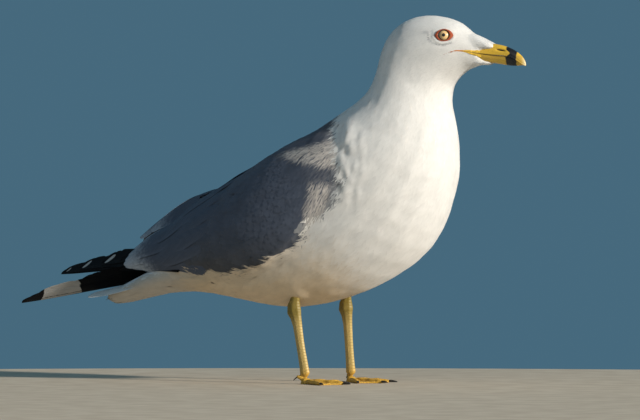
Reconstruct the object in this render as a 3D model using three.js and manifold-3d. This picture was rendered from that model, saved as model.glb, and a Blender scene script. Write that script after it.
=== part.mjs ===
// A standing ring-billed gull, life size, as a still museum model.
// Millimetres, +Z up, the bill along +X, the bird's left side towards +Y.
// The bird stands on z = 0 with the middle of its box over the origin.
import * as THREE from "three";
import { mergeVertices } from "three/addons/utils/BufferGeometryUtils.js";
import Module from "manifold-3d";

const wasm = await Module();
wasm.setup();

// ---- driving dimensions -------------------------------------------------
const GAP = 0.3; // clear space left between neighbouring pieces
const WING_GAP = 0.9; // the same round the wings, whose facets don't match the body's
const OVER_WING = 30; // height cleared of all other plumage outside a wing
const ROUND_THE_BODY = 22; // steps round the body
const ALONG_THE_BODY = 38; // steps from the face to the tail
const FINENESS = 0.13; // facets flatter than this are joined after the cuts

// The body from the face to the tail: each section runs from a point on the
// back line to one on the breast line, with half its width across.
const BODY = [
  { at: "bill root", back: [169, 267], breast: [170, 256.5], half: 5 },
  { at: "lores", back: [158.5, 276.5], breast: [159.5, 253], half: 10 },
  { at: "forehead", back: [149.5, 284], breast: [151, 250], half: 14 },
  { at: "brow", back: [140.5, 289.5], breast: [145, 246], half: 17.5 },
  { at: "crown", back: [127, 293], breast: [140, 241.5], half: 20.5 },
  { at: "ear", back: [112, 293.5], breast: [136.5, 236.5], half: 22.5 },
  { at: "hind crown", back: [97, 290], breast: [135, 231.5], half: 24 },
  { at: "nape", back: [84.5, 281], breast: [134.5, 226], half: 25 },
  { at: "upper neck", back: [77, 269], breast: [134.5, 219.5], half: 26.5 },
  { at: "mid neck", back: [73.5, 256], breast: [136, 211.5], half: 29 },
  { at: "lower neck", back: [70, 243], breast: [137.5, 202], half: 32.5 },
  { at: "neck root", back: [62, 230.5], breast: [139, 191], half: 37.5 },
  { at: "shoulder", back: [46, 219.5], breast: [139.5, 178], half: 43 },
  { at: "breast", back: [29, 208.5], breast: [138, 162], half: 48 },
  { at: "chest", back: [5, 196], breast: [133, 142.5], half: 51.5 },
  { at: "mid trunk", back: [-19, 183], breast: [124.5, 122], half: 53 },
  { at: "keel", back: [-41, 167], breast: [109.5, 102.5], half: 52.5 },
  { at: "belly", back: [-58, 151], breast: [86, 86], half: 50.5 },
  { at: "hind belly", back: [-72, 136], breast: [57, 73], half: 47.5 },
  { at: "flank", back: [-84, 123], breast: [25, 63.5], half: 43.5 },
  { at: "vent", back: [-95, 112], breast: [-6, 60], half: 39 },
  { at: "rump", back: [-106, 103], breast: [-38, 64], half: 34.5 },
  { at: "tail root", back: [-118, 96.5], breast: [-76, 70.6], half: 30 },
  { at: "tail coverts", back: [-132, 90], breast: [-112, 71.5], half: 26 },
  { at: "vent plume", back: [-146, 83], breast: [-140, 66], half: 23 },
  { at: "plume end", back: [-162, 76], breast: [-165, 61], half: 18 },
  { at: "plume tip", back: [-171, 71.5], breast: [-175.5, 63.5], half: 9 },
];
const WIDEST_AT = 0.52; // share of a section's depth where it is widest, from the breast
// Flat cuts that part the body; rise is the way from tail to head there, in degrees.
const NECK_CUT = { x: 105, z: 244, rise: 48.5 };
const SHOULDER_CUT = { x: 92, z: 199, rise: 66 };
const TAIL_CUT = { x: -95, z: 85, rise: 35 };

const EYE = {
  centre: [137.8, 16.6, 277.5], // middle of the lids, on the skin
  ball: 5.8,
  sunk: 4.3, // the ball's centre lies this far inside the lids
  opening: 4.2, // radius of the round opening of the lids
  ring: [6.9, 4.9], // half length and half height of the bare skin round it
  proud: 0.7, // the ring's middle stands this far out
  wire: 0.8, // half its thickness
  turn: 0.3, // the lids face this far forwards, radians
  tip: 0.13, // and this far up
};

// The bill: sections from the gape to the tip, upper and lower mandible.
const BILL_UPPER = [
  { at: [139, 262.3], up: 0.5, down: 0.5, half: 11.2 },
  { at: [150, 263.6], up: 1.2, down: 1, half: 9.6 },
  { at: [160, 263.4], up: 3.8, down: 1.4, half: 7.8 },
  { at: [166, 262.6], up: 7, down: 1, half: 6.6 },
  { at: [170, 262.2], up: 8.6, down: 0.9, half: 5.9 },
  { at: [177, 261.6], up: 7.7, down: 0.9, half: 4.9 },
  { at: [184, 261.1], up: 6.6, down: 1, half: 4.1 },
  { at: [190, 260.6], up: 5.8, down: 1.3, half: 3.5 },
  { at: [195, 259.7], up: 4.5, down: 2.2, half: 2.9 },
  { at: [199.3, 257.6], up: 2.8, down: 3, half: 2.1 },
  { at: [202, 254.6], up: 1.3, down: 1.4, half: 0.9 },
];
const BILL_LOWER = [
  { at: [143, 260.4], up: 1, down: 0.6, half: 10.4 },
  { at: [152, 260.1], up: 1.8, down: 1, half: 8.6 },
  { at: [162, 259.4], up: 2.6, down: 2.4, half: 6.8 },
  { at: [171, 258.7], up: 3.2, down: 3.7, half: 5.1 },
  { at: [180, 257.6], up: 3.4, down: 3.8, half: 4 },
  { at: [187, 257.2], up: 3.4, down: 4.4, half: 3.3 },
  { at: [193, 256.2], up: 2.8, down: 3.3, half: 2.5 },
  { at: [198, 254.6], up: 0.8, down: 0.9, half: 1.1 },
];

// The folded wings lie on a cover: half an oval at each x, from the back line
// down over its widest level. The left wing's rear is humped up over the right.
const COVER = [
  { x: 70, top: 221, mid: 160, low: 84, half: 46.5, hump: 0 },
  { x: 48, top: 218, mid: 150, low: 70, half: 53, hump: 0 },
  { x: 20, top: 204, mid: 138, low: 62, half: 56.5, hump: 0 },
  { x: -10, top: 190.5, mid: 128, low: 61, half: 56.5, hump: 0 },
  { x: -40, top: 172, mid: 119, low: 64, half: 52.5, hump: 0 },
  { x: -65, top: 156, mid: 111, low: 68, half: 46, hump: 1.5 },
  { x: -90, top: 142.5, mid: 104, low: 74, half: 38, hump: 10.5 },
  { x: -112, top: 127, mid: 99, low: 78, half: 30, hump: 16.5 },
  { x: -134, top: 116, mid: 95, low: 83, half: 22, hump: 13.5 },
  { x: -156, top: 101, mid: 91, low: 85, half: 14, hump: 11 },
];
// Angles on the cover, in degrees from its widest level, up and down.
const WING_EDGE = [
  { x: 69, above: 22, below: 4 },
  { x: 64, above: 36, below: -1 },
  { x: 52, above: 50, below: -4 },
  { x: 36, above: 63, below: -9 },
  { x: 12, above: 75, below: -22 },
  { x: -20, above: 83, below: -32 },
  { x: -55, above: 85, below: -38 },
  { x: -80, above: 85, below: -38 },
  { x: -96, above: 84, below: -33 },
];
const WING = { depth: 4.2, rearDepth: 2.2, lift: 1.2 };
const TERTIAL_EDGE = [
  { x: -96.6, above: 83, below: -31 },
  { x: -118, above: 81, below: -27 },
  { x: -136, above: 76, below: -23 },
  { x: -148, above: 58, below: -15 },
  { x: -154, above: 28, below: -4 },
];
const TERTIAL = { depth: 1.1, lift: 1 };

// Long flight feathers beyond the tertials: the leading edge of each wing tip
// runs from under the tertials to its tip, the right over the left.
const PRIMARIES = {
  right: { root: [-93, -34, 88], bend: [-162, -9, 91], tip: [-236, 25, 84.5], across: [-0.16, 0.66, 0.73] },
  left: { root: [-93, 33, 89], bend: [-164, 7, 77.5], tip: [-241, -28, 60.5], across: [-0.12, -0.8, 0.56] },
  tips: [0, 7, 23, 46], // how far each feather's tip is short of the longest
  rise: [0, 1.2, 3, 6.5], // start of each feather above the leading edge
  width: [8.5, 9.5, 12, 15],
  step: 0.55, // each feather lies this much over the one outside it
  thick: 1,
};
const TAIL = {
  root: [-103, 90.6],
  end: [-184, 68.4],
  rootHalf: 14,
  endHalf: 31,
  thick: 1.8,
  crown: 2.2, // rise of the middle over the edges
};

// Legs: knee feathering, shank and webbed foot, heel to toes.
const LEGS = {
  right: { ankle: [7.8, -24, 59], sole: [19, -26, 5], toes: [28, -7, -42] },
  left: { ankle: [29.2, 24, 60], sole: [32.5, 26, 5], toes: [-52, -20, 4] },
};
const SHANK = { joint: 6.7, below: 4.5, slim: 3.8, low: 4.1, foot: 4.9, flat: 0.62 };
const TOES = {
  lengths: [31, 39, 36], // inner, middle, outer
  radii: [2.5, 2.9, 2.6],
  tipHeight: 3,
  web: 1.3, // thickness of the web
  webReach: 0.93, // share of a toe that the web reaches
  webHollow: 0.86,
  claw: 7.5,
  clawRadius: 1.45,
  clawClear: 0.62, // least height of a claw's line over the ground
};
const HIND_TOE = { length: 7, radius: 1.7, height: 6.4, claw: 3.2, inwards: 0.35 };
const SOLE_TOP = 4.4; // height of a toe at its root

// ---- small tools ----------------------------------------------------------
const SIDES = { left: 1, right: -1 };
const radians = THREE.MathUtils.degToRad;
const vector = (list) => new THREE.Vector3(...list);

// A smooth run of values through numbered stations; share goes from 0 to 1.
function smoothRun(values) {
  const points = values.map((value, i) => new THREE.Vector3(value, i, 0));
  const curve = new THREE.CatmullRomCurve3(points, false, "catmullrom", 0.5);
  return (share) => curve.getPoint(THREE.MathUtils.clamp(share, 0, 1)).x;
}

// Values given at rising or falling x, read smoothly at any x.
function valuesAlong(stations, keys) {
  const runs = Object.fromEntries(
    keys.map((key) => [key, smoothRun(stations.map((station) => station[key]))]),
  );
  const xs = stations.map((station) => station.x);
  return (x) => {
    let i = 0;
    while (i < xs.length - 2 && x < xs[i + 1]) i += 1;
    const share = (i + (x - xs[i]) / (xs[i + 1] - xs[i])) / (xs.length - 1);
    return Object.fromEntries(keys.map((key) => [key, runs[key](share)]));
  };
}

// A closed skin: a sphere's grid with every point put where place(along, round) says.
function closedSkin(around, along, place) {
  const geometry = new THREE.SphereGeometry(1, around, along);
  const { position, uv } = geometry.attributes;
  for (let i = 0; i < position.count; i += 1) {
    const share = 1 - uv.getY(i);
    const turn = (uv.getX(i) % 1) * 2 * Math.PI;
    const onPole = share < 1e-6 || share > 1 - 1e-6;
    const point = place(share, onPole ? 0 : turn);
    position.setXYZ(i, point.x, point.y, point.z);
  }
  return geometry;
}

// A slab: a box's grid mapped by place(along, across, side), each from 0 to 1.
function slab(along, across, place) {
  const geometry = new THREE.BoxGeometry(1, 1, 1, along, across, 1);
  const { position } = geometry.attributes;
  for (let i = 0; i < position.count; i += 1) {
    const point = place(position.getX(i) + 0.5, position.getY(i) + 0.5, position.getZ(i) + 0.5);
    position.setXYZ(i, point.x, point.y, point.z);
  }
  return geometry;
}

// A three.js geometry as a manifold-3d solid that faces outwards.
function solid(geometry) {
  geometry.deleteAttribute("normal");
  geometry.deleteAttribute("uv");
  const merged = mergeVertices(geometry, 1e-3);
  const vertProperties = new Float32Array(merged.attributes.position.array);
  const triVerts = new Uint32Array(merged.index.array).filter((_, i, all) => {
    const first = i - (i % 3);
    return (
      all[first] !== all[first + 1] && all[first + 1] !== all[first + 2] && all[first] !== all[first + 2]
    );
  });
  const made = new wasm.Manifold(new wasm.Mesh({ numProp: 3, vertProperties, triVerts }));
  if (made.volume() > 0) return made;
  const turned = triVerts.slice();
  for (let i = 0; i < turned.length; i += 3) [turned[i], turned[i + 1]] = [turned[i + 1], turned[i]];
  return new wasm.Manifold(new wasm.Mesh({ numProp: 3, vertProperties, triVerts: turned }));
}

const joined = (solids) => solids.reduce((sum, next) => sum.add(next));
const cutBy = (body, cutters) => cutters.reduce((rest, cutter) => rest.subtract(cutter), body);

// The largest body of a solid, without the slivers that a cut can leave.
function mainBody(body) {
  return body.decompose().sort((a, b) => b.volume() - a.volume())[0];
}

function mesh(name, body, material) {
  const { vertProperties, triVerts, numProp } = mainBody(body).simplify(FINENESS).getMesh();
  const positions = new Float32Array((vertProperties.length / numProp) * 3);
  for (let i = 0; i < positions.length / 3; i += 1) {
    positions.set(vertProperties.subarray(i * numProp, i * numProp + 3), i * 3);
  }
  const geometry = new THREE.BufferGeometry();
  geometry.setAttribute("position", new THREE.BufferAttribute(positions, 3));
  geometry.setIndex(new THREE.BufferAttribute(new Uint32Array(triVerts), 1));
  geometry.computeVertexNormals();
  const made = new THREE.Mesh(geometry, material.clone());
  made.name = name;
  return made;
}

const finish = (color, roughness) => new THREE.MeshStandardMaterial({ color, roughness, metalness: 0 });
const WHITE_PLUMAGE = finish(0xf1eee8, 0.9);
const GREY_PLUMAGE = finish(0x8d9199, 0.85);
const BLACK_PLUMAGE = finish(0x141418, 0.7);
const BILL_HORN = finish(0xe6b52c, 0.4);
const EYE_GLASS = finish(0xe8cf92, 0.15);
const ORBIT_SKIN = finish(0xc23a12, 0.55);
const LEG_SKIN = finish(0xd9ac34, 0.55);
const CLAW_HORN = finish(0x1a1713, 0.4);

// ---- body -------------------------------------------------------------------
// The whole body as one skin from face to tail; grow swells it outwards.
function bodySkin(grow = 0) {
  const read = {};
  for (const [key, pick] of Object.entries({
    backX: (s) => s.back[0],
    backZ: (s) => s.back[1],
    breastX: (s) => s.breast[0],
    breastZ: (s) => s.breast[1],
    half: (s) => s.half,
  })) {
    read[key] = smoothRun(BODY.map(pick));
  }
  const skin = closedSkin(ROUND_THE_BODY, ALONG_THE_BODY, (share, turn) => {
    const back = new THREE.Vector3(read.backX(share), 0, read.backZ(share));
    const breast = new THREE.Vector3(read.breastX(share), 0, read.breastZ(share));
    const axis = back.clone().sub(breast);
    const depth = axis.length();
    axis.normalize();
    const onPole = share < 1e-6 || share > 1 - 1e-6;
    const ring = onPole ? 0 : 1;
    const level = Math.cos(turn);
    const reach = level > 0 ? 1 - WIDEST_AT : WIDEST_AT;
    const centre = breast.clone().addScaledVector(axis, depth * (onPole ? 0.5 : WIDEST_AT));
    return centre
      .addScaledVector(axis, ring * level * (reach * depth + grow))
      .add(new THREE.Vector3(0, ring * Math.sin(turn) * (read.half(share) + grow), 0));
  });
  return solid(skin);
}

// Everything on one side of a cut, as a big block: 1 towards the head, -1 the tail.
function sideOf({ x, z, rise }, side) {
  const block = new THREE.BoxGeometry(900, 300, 900);
  block.translate((side * (900 + GAP)) / 2, 0, 0);
  block.rotateY(-radians(rise));
  block.translate(x, 0, z);
  return solid(block);
}

// ---- wings ---------------------------------------------------------------
const coverAt = valuesAlong(COVER, ["top", "mid", "low", "half", "hump"]);

function onCover(x, degrees, lift, side) {
  const { top, mid, low, half, hump } = coverAt(x);
  const angle = radians(degrees);
  const raised = side === SIDES.left ? hump : 0;
  const reach = (degrees > 0 ? top + raised - mid : mid - low) + lift;
  return new THREE.Vector3(x, side * (half + lift) * Math.cos(angle), mid + reach * Math.sin(angle));
}

// A shell on the cover between two edge lines, from its front to its rear x.
function coverShell(edges, side, outer, inner, { along, across, margin = 0 }) {
  const edgeAt = valuesAlong(edges, ["above", "below"]);
  const front = edges[0].x + margin;
  const rear = edges.at(-1).x - margin;
  const marginDegrees = (margin / 45) * (180 / Math.PI);
  return solid(
    slab(along, across, (alongShare, acrossShare, sideShare) => {
      const x = THREE.MathUtils.lerp(front, rear, alongShare);
      const { above, below } = edgeAt(THREE.MathUtils.clamp(x, edges.at(-1).x, edges[0].x));
      const degrees = THREE.MathUtils.lerp(
        below - marginDegrees,
        Math.min(above + marginDegrees, 89),
        acrossShare,
      );
      const lift = sideShare > 0.5 ? outer(alongShare, acrossShare) : inner(alongShare, acrossShare);
      return onCover(x, degrees, lift, side);
    }),
  );
}

const bulge = (share) => Math.sqrt(Math.max(0, 1 - (2 * share - 1) ** 4));

function wing(side, margin = 0, reach = 0) {
  const outer = (along, across) => WING.lift * bulge(across) * bulge(0.5 * along + 0.5 * (along < 0.5)) + reach;
  const inner = (along) => -THREE.MathUtils.lerp(WING.depth, WING.rearDepth, along) - margin;
  return coverShell(WING_EDGE, side, outer, inner, { along: 13, across: 6, margin });
}

function tertials(side, margin = 0, reach = 0) {
  const outer = (along, across) => TERTIAL.lift * bulge(across) + reach;
  const inner = () => -TERTIAL.depth - margin;
  return coverShell(TERTIAL_EDGE, side, outer, inner, { along: 6, across: 5, margin });
}

// One long feather as a thin curved blade: a straight leading edge, a rounded tip.
function feather({ root, bend, tip, across, rise, width, layer, thick }, margin = 0) {
  const line = new THREE.QuadraticBezierCurve3(root, bend, tip);
  return solid(
    slab(7, 1, (share, acrossShare, sideShare) => {
      const along = 1 - (1 - share) ** 1.5;
      const heading = line.getTangent(along);
      const ends = share < 0.01 ? -margin : share > 0.99 ? margin : 0;
      const point = line.getPoint(along).addScaledVector(heading, ends);
      const over = across.clone().addScaledVector(heading, -across.dot(heading)).normalize();
      const normal = heading.clone().cross(over).normalize();
      const fromTip = Math.max(0, (along - 0.78) / 0.22);
      const reach = width * (0.16 + 0.84 * Math.sqrt(1 - fromTip ** 2.2));
      const start = rise * (1 - 0.5 * fromTip) - margin;
      const thin = thick * (fromTip > 0.6 ? 0.75 : 1) + 2 * margin;
      return point
        .addScaledVector(over, start + acrossShare * (reach + 2 * margin))
        .addScaledVector(normal, layer + (sideShare - 0.5) * thin);
    }),
  );
}

function primaryBlade(name) {
  const { root, bend, tip, across } = PRIMARIES[name];
  return { root: vector(root), bend: vector(bend), tip: vector(tip), across: vector(across).normalize() };
}

function primaries(name, side) {
  const { tips, width, rise, step, thick } = PRIMARIES;
  const blade = primaryBlade(name);
  const whole = blade.root.distanceTo(blade.tip);
  const feathers = tips.map((short, i) => {
    const tip = blade.tip.clone().lerp(blade.root, short / whole);
    return feather({ ...blade, tip, rise: rise[i], width: width[i], layer: side * step * i, thick });
  });
  return joined(feathers);
}

// The space that one wing's primaries take up, as a single thick blade.
function primariesRoom(name, side, margin = WING_GAP) {
  const { tips, width, rise, step, thick } = PRIMARIES;
  const stack = step * (tips.length - 1);
  const size = { rise: 0, width: rise.at(-1) + width.at(-1), layer: (side * stack) / 2, thick: stack + thick };
  return feather({ ...primaryBlade(name), ...size }, margin);
}

function tailFeathers(margin = 0) {
  const [rootX, rootZ] = TAIL.root;
  const [endX, endZ] = TAIL.end;
  return solid(
    slab(6, 8, (along, across, side) => {
      const swing = 2 * across - 1;
      const length = 1 - 0.05 * swing ** 2 - (Math.abs(swing) > 0.85 ? 0.02 : 0);
      const half = THREE.MathUtils.lerp(TAIL.rootHalf, TAIL.endHalf, along) + margin;
      const slope = (endZ - rootZ) / (endX - rootX);
      const x = rootX + margin + (endX - rootX - 2 * margin) * along * (along > 0.5 ? length : 1);
      const z = rootZ + slope * (x - rootX) - TAIL.crown * swing ** 2;
      return new THREE.Vector3(x, half * swing, z + (side - 0.5) * (TAIL.thick + 2 * margin));
    }),
  );
}

// ---- head -------------------------------------------------------------------
function mandible(stations, margin = 0) {
  const read = {};
  for (const [key, pick] of Object.entries({
    x: (s) => s.at[0],
    z: (s) => s.at[1],
    up: (s) => s.up,
    down: (s) => s.down,
    half: (s) => s.half,
  })) {
    read[key] = smoothRun(stations.map(pick));
  }
  return solid(
    closedSkin(10, 11, (share, turn) => {
      const onPole = share < 1e-6 || share > 1 - 1e-6;
      const ring = onPole ? 0 : 1;
      const level = Math.cos(turn);
      const reach = (level > 0 ? read.up(share) : read.down(share)) + margin;
      return new THREE.Vector3(
        read.x(share) + (onPole ? (share < 0.5 ? -1 : 1) * margin : 0),
        ring * Math.sin(turn) * (read.half(share) + margin),
        read.z(share) + ring * level * reach,
      );
    }),
  );
}

// Turns a piece made round the origin, facing +Y, to the place of one eye.
function atEye(geometry, side) {
  const [x, y, z] = EYE.centre;
  geometry.rotateX(EYE.tip);
  geometry.rotateZ(-EYE.turn);
  geometry.translate(x, y, z);
  if (side === SIDES.left) return solid(geometry);
  geometry.scale(1, -1, 1);
  return solid(geometry);
}

function eyeball(side, margin = 0) {
  const ball = new THREE.SphereGeometry(EYE.ball + margin, 12, 7);
  ball.translate(0, -EYE.sunk, 0);
  return atEye(ball, side);
}

function eyeRing(side) {
  const ring = new THREE.TorusGeometry(1, 0.5, 4, 14);
  const { position } = ring.attributes;
  const [length, height] = EYE.ring;
  for (let i = 0; i < position.count; i += 1) {
    const [x, y, z] = [position.getX(i), position.getY(i), position.getZ(i)];
    const turn = Math.atan2(y, x);
    const outer = 1 / Math.hypot(Math.cos(turn) / length, Math.sin(turn) / height);
    const out = (EYE.opening + outer) / 2 + (Math.hypot(x, y) - 1) * (outer - EYE.opening);
    position.setXYZ(i, Math.cos(turn) * out, EYE.proud + 2 * z * EYE.wire, Math.sin(turn) * out);
  }
  return atEye(ring, side);
}

// The hollow that the eyeball and its ring sit in.
function eyeSocket(side) {
  const [length, height] = EYE.ring;
  const hollow = new THREE.SphereGeometry(1, 12, 6);
  hollow.rotateX(Math.PI / 2);
  hollow.scale(length + 2 * GAP, EYE.ball + EYE.sunk + GAP, height + 2 * GAP);
  return atEye(hollow, side).add(eyeball(side, GAP));
}

// ---- legs -------------------------------------------------------------------
// A rod of round sections along a line of points, each with its own radii.
function limb(points, radii, { around = 10, along = 12, squash = 1, margin = 0 } = {}) {
  const line = new THREE.CatmullRomCurve3(points.map(vector), false, "catmullrom", 0.5);
  const radius = smoothRun(radii);
  return solid(
    closedSkin(around, along, (share, turn) => {
      const onPole = share < 1e-6 || share > 1 - 1e-6;
      const heading = line.getTangent(share);
      const centre = line.getPoint(share);
      if (onPole) return centre.addScaledVector(heading, share < 0.5 ? -margin : margin);
      const sideways = new THREE.Vector3(0, 1, 0).addScaledVector(heading, -heading.y).normalize();
      const ahead = sideways.clone().cross(heading).normalize();
      const reach = radius(share) + margin;
      return centre
        .addScaledVector(ahead, reach * Math.cos(turn))
        .addScaledVector(sideways, reach * squash * Math.sin(turn));
    }),
  );
}

function thigh({ ankle }, margin = 0) {
  const [x, y, z] = ankle;
  const inwards = -Math.sign(y);
  return limb(
    [
      [x + 8, y + inwards * 3, z + 34],
      [x + 5, y + inwards * 2, z + 22],
      [x + 2, y + inwards, z + 12],
      [x + 0.6, y, z + 6.6],
    ],
    [13, 12, 8, 4.6],
    { around: 10, along: 6, margin },
  );
}

function shank({ ankle, sole }, margin = 0) {
  const [ax, ay, az] = ankle;
  const [sx, sy, sz] = sole;
  const between = (share, z) => [ax + (sx - ax) * share, ay + (sy - ay) * share, z];
  return limb(
    [
      [ax + 1.5, ay, az + 15],
      [ax + 0.4, ay, az + 8],
      [ax - 0.6, ay, az],
      between(0.2, az - 9),
      between(0.5, (az + sz) / 2),
      between(0.85, sz + 8),
      between(1, sz - 1.5),
    ],
    [3.6, 4.2, SHANK.joint, SHANK.below, SHANK.slim, SHANK.low, SHANK.foot],
    { around: 8, along: 11, squash: SHANK.flat, margin },
  );
}

const headingOf = (angle) => new THREE.Vector3(Math.cos(angle), Math.sin(angle), 0);

// A toe lying on the ground: round above, flat below, thicker at its joints.
function toe(root, { heading, length, radius }) {
  const ahead = headingOf(heading);
  const across = new THREE.Vector3(-ahead.y, ahead.x, 0);
  return solid(
    closedSkin(8, 6, (share, turn) => {
      const onPole = share < 1e-6 || share > 1 - 1e-6;
      const joints = 1 + 0.1 * Math.cos(share * 6 * Math.PI);
      const reach = onPole ? 0 : radius * (1 - 0.38 * share) * joints;
      const height = THREE.MathUtils.lerp(SOLE_TOP, TOES.tipHeight, share);
      const level = onPole ? 0.5 : THREE.MathUtils.clamp(0.5 + 0.62 * Math.cos(turn), 0, 1);
      return root
        .clone()
        .addScaledVector(ahead, share * length)
        .addScaledVector(across, reach * Math.sin(turn))
        .setZ(level * height);
    }),
  );
}

function claw({ root, heading, length, radius, height }, margin = 0) {
  const points = [0, 0.5, 1].map((share) => {
    const point = root.clone().addScaledVector(headingOf(heading), share * length);
    return [point.x, point.y, Math.max(TOES.clawClear, height * (1 - 0.72 * share ** 2))];
  });
  return limb(points, [radius, radius * 0.72, 0.35], { around: 6, along: 4, margin });
}

// The web between two toes: a thin sheet on the ground with a hollow front edge.
function web(root, from, to) {
  const corner = ({ heading, length }) => headingOf(heading).multiplyScalar(length * TOES.webReach);
  const left = corner(from);
  const right = corner(to);
  const hollow = left.clone().add(right).multiplyScalar(0.5 * TOES.webHollow);
  const outline = new THREE.Shape();
  outline.moveTo(-1, 0);
  outline.lineTo(left.x, left.y);
  outline.quadraticCurveTo(hollow.x, hollow.y, right.x, right.y);
  outline.closePath();
  const sheet = new THREE.ExtrudeGeometry(outline, {
    depth: TOES.web,
    bevelEnabled: false,
    curveSegments: 5,
  });
  sheet.translate(root.x, root.y, 0);
  return solid(sheet);
}

// The foot of one leg as a solid, and the places of its four claws.
function foot({ sole, toes }, side) {
  const root = new THREE.Vector3(sole[0], sole[1], 0);
  const rays = toes.map((degrees, i) => ({
    heading: radians(degrees),
    length: TOES.lengths[i],
    radius: TOES.radii[i],
  }));
  const pad = new THREE.CylinderGeometry(3.2, 4.4, SOLE_TOP, 10);
  pad.rotateX(Math.PI / 2);
  pad.translate(root.x, root.y, SOLE_TOP / 2);
  const hindHeading = rays[1].heading + Math.PI - side * HIND_TOE.inwards;
  const heel = root.clone().addScaledVector(headingOf(hindHeading), 1.5);
  const nub = heel.clone().addScaledVector(headingOf(hindHeading), HIND_TOE.length);
  const middle = heel.clone().lerp(nub, 0.5);
  const hind = limb(
    [
      [heel.x, heel.y, HIND_TOE.height - 3],
      [middle.x, middle.y, HIND_TOE.height - 1.2],
      [nub.x, nub.y, HIND_TOE.height],
    ],
    [2.1, HIND_TOE.radius, 1.2],
    { around: 6, along: 4 },
  );
  const body = joined([
    solid(pad),
    hind,
    ...rays.map((ray) => toe(root, ray)),
    web(root, rays[0], rays[1]),
    web(root, rays[1], rays[2]),
  ]);
  const claws = rays.map(({ heading, length }) => ({
    root: root.clone().addScaledVector(headingOf(heading), length - 2),
    heading,
    length: TOES.claw,
    radius: TOES.clawRadius,
    height: TOES.tipHeight * 0.7,
  }));
  claws.push({
    root: nub.clone().addScaledVector(headingOf(hindHeading), -0.9),
    heading: hindHeading,
    length: HIND_TOE.claw,
    radius: 0.95,
    height: HIND_TOE.height,
  });
  return { body, claws };
}

// ---- the bird ---------------------------------------------------------------
const TOE_NAMES = ["inner", "middle", "outer", "hind"];

function addHead(bird, headPart) {
  const cutters = [mandible(BILL_UPPER, GAP), mandible(BILL_LOWER, GAP)];
  for (const [name, side] of Object.entries(SIDES)) {
    cutters.push(eyeSocket(side));
    bird.add(mesh(`eye_${name}`, eyeball(side), EYE_GLASS));
    bird.add(mesh(`eye_ring_${name}`, eyeRing(side), ORBIT_SKIN));
  }
  bird.add(mesh("head", cutBy(headPart, cutters), WHITE_PLUMAGE));
  bird.add(mesh("bill_upper", mandible(BILL_UPPER), BILL_HORN));
  bird.add(mesh("bill_lower", cutBy(mandible(BILL_LOWER), [mandible(BILL_UPPER, GAP)]), BILL_HORN));
}

function addWings(bird) {
  for (const [name, side] of Object.entries(SIDES)) {
    bird.add(mesh(`wing_${name}`, wing(side), GREY_PLUMAGE));
    bird.add(mesh(`tertials_${name}`, tertials(side), GREY_PLUMAGE));
    const above = [wing(side, GAP, OVER_WING), tertials(side, GAP, OVER_WING)];
    if (side === SIDES.left) above.push(primariesRoom("right", SIDES.right, GAP));
    bird.add(mesh(`primaries_${name}`, cutBy(primaries(name, side), above), BLACK_PLUMAGE));
  }
}

function addLegs(bird) {
  for (const [name, side] of Object.entries(SIDES)) {
    const leg = LEGS[name];
    const { body, claws } = foot(leg, side);
    const room = shank(leg, GAP);
    bird.add(mesh(`thigh_${name}`, cutBy(thigh(leg), [room]), WHITE_PLUMAGE));
    bird.add(mesh(`shank_${name}`, shank(leg), LEG_SKIN));
    bird.add(mesh(`foot_${name}`, cutBy(body, [room, ...claws.map((one) => claw(one, GAP))]), LEG_SKIN));
    claws.forEach((one, i) => bird.add(mesh(`claw_${TOE_NAMES[i]}_${name}`, claw(one), CLAW_HORN)));
  }
}

function buildGull() {
  const bird = new THREE.Group();
  const whole = bodySkin();
  const belowHead = whole.intersect(sideOf(NECK_CUT, -1));
  const belowNeck = belowHead.intersect(sideOf(SHOULDER_CUT, -1));
  const trunkCutters = [];
  const tailCutters = [tailFeathers(GAP)];
  for (const [name, side] of Object.entries(SIDES)) {
    const wingRoom = [
      wing(side, WING_GAP, OVER_WING),
      tertials(side, WING_GAP, OVER_WING),
      primariesRoom(name, side),
    ];
    trunkCutters.push(...wingRoom, thigh(LEGS[name], GAP), shank(LEGS[name], GAP));
    tailCutters.push(...wingRoom);
  }
  addHead(bird, whole.intersect(sideOf(NECK_CUT, 1)));
  bird.add(mesh("neck", belowHead.intersect(sideOf(SHOULDER_CUT, 1)), WHITE_PLUMAGE));
  bird.add(mesh("trunk", cutBy(belowNeck.intersect(sideOf(TAIL_CUT, 1)), trunkCutters), WHITE_PLUMAGE));
  bird.add(mesh("tail", cutBy(belowNeck.intersect(sideOf(TAIL_CUT, -1)), tailCutters), WHITE_PLUMAGE));
  const overTail = Object.entries(SIDES).map(([name, side]) => primariesRoom(name, side, GAP));
  bird.add(mesh("tail_feathers", cutBy(tailFeathers(), overTail), WHITE_PLUMAGE));
  addWings(bird);
  addLegs(bird);

  // Stand the bird on z = 0 with the middle of its box over the origin.
  const box = new THREE.Box3().setFromObject(bird);
  const middle = box.getCenter(new THREE.Vector3());
  bird.position.set(-middle.x, -middle.y, -box.min.z);
  return bird;
}

export default buildGull();
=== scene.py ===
"""A life-size ring-billed gull: skin, feathers, bill, eyes and legs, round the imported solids.

Sizes are in millimetres in the tables and fields below, and in metres in the scene.
The bill points along +X, the bird's left side is +Y, and it stands on z = 0.
"""

import logging
import math
from collections.abc import Callable, Iterator, Sequence
from contextlib import contextmanager
from dataclasses import dataclass, field
from enum import Enum

import bmesh
import bpy
import numpy as np
from bpy.types import Material, Mesh, NodeSocket, Object
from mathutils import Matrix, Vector, noise
from mathutils.bvhtree import BVHTree
from mathutils.kdtree import KDTree


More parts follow.
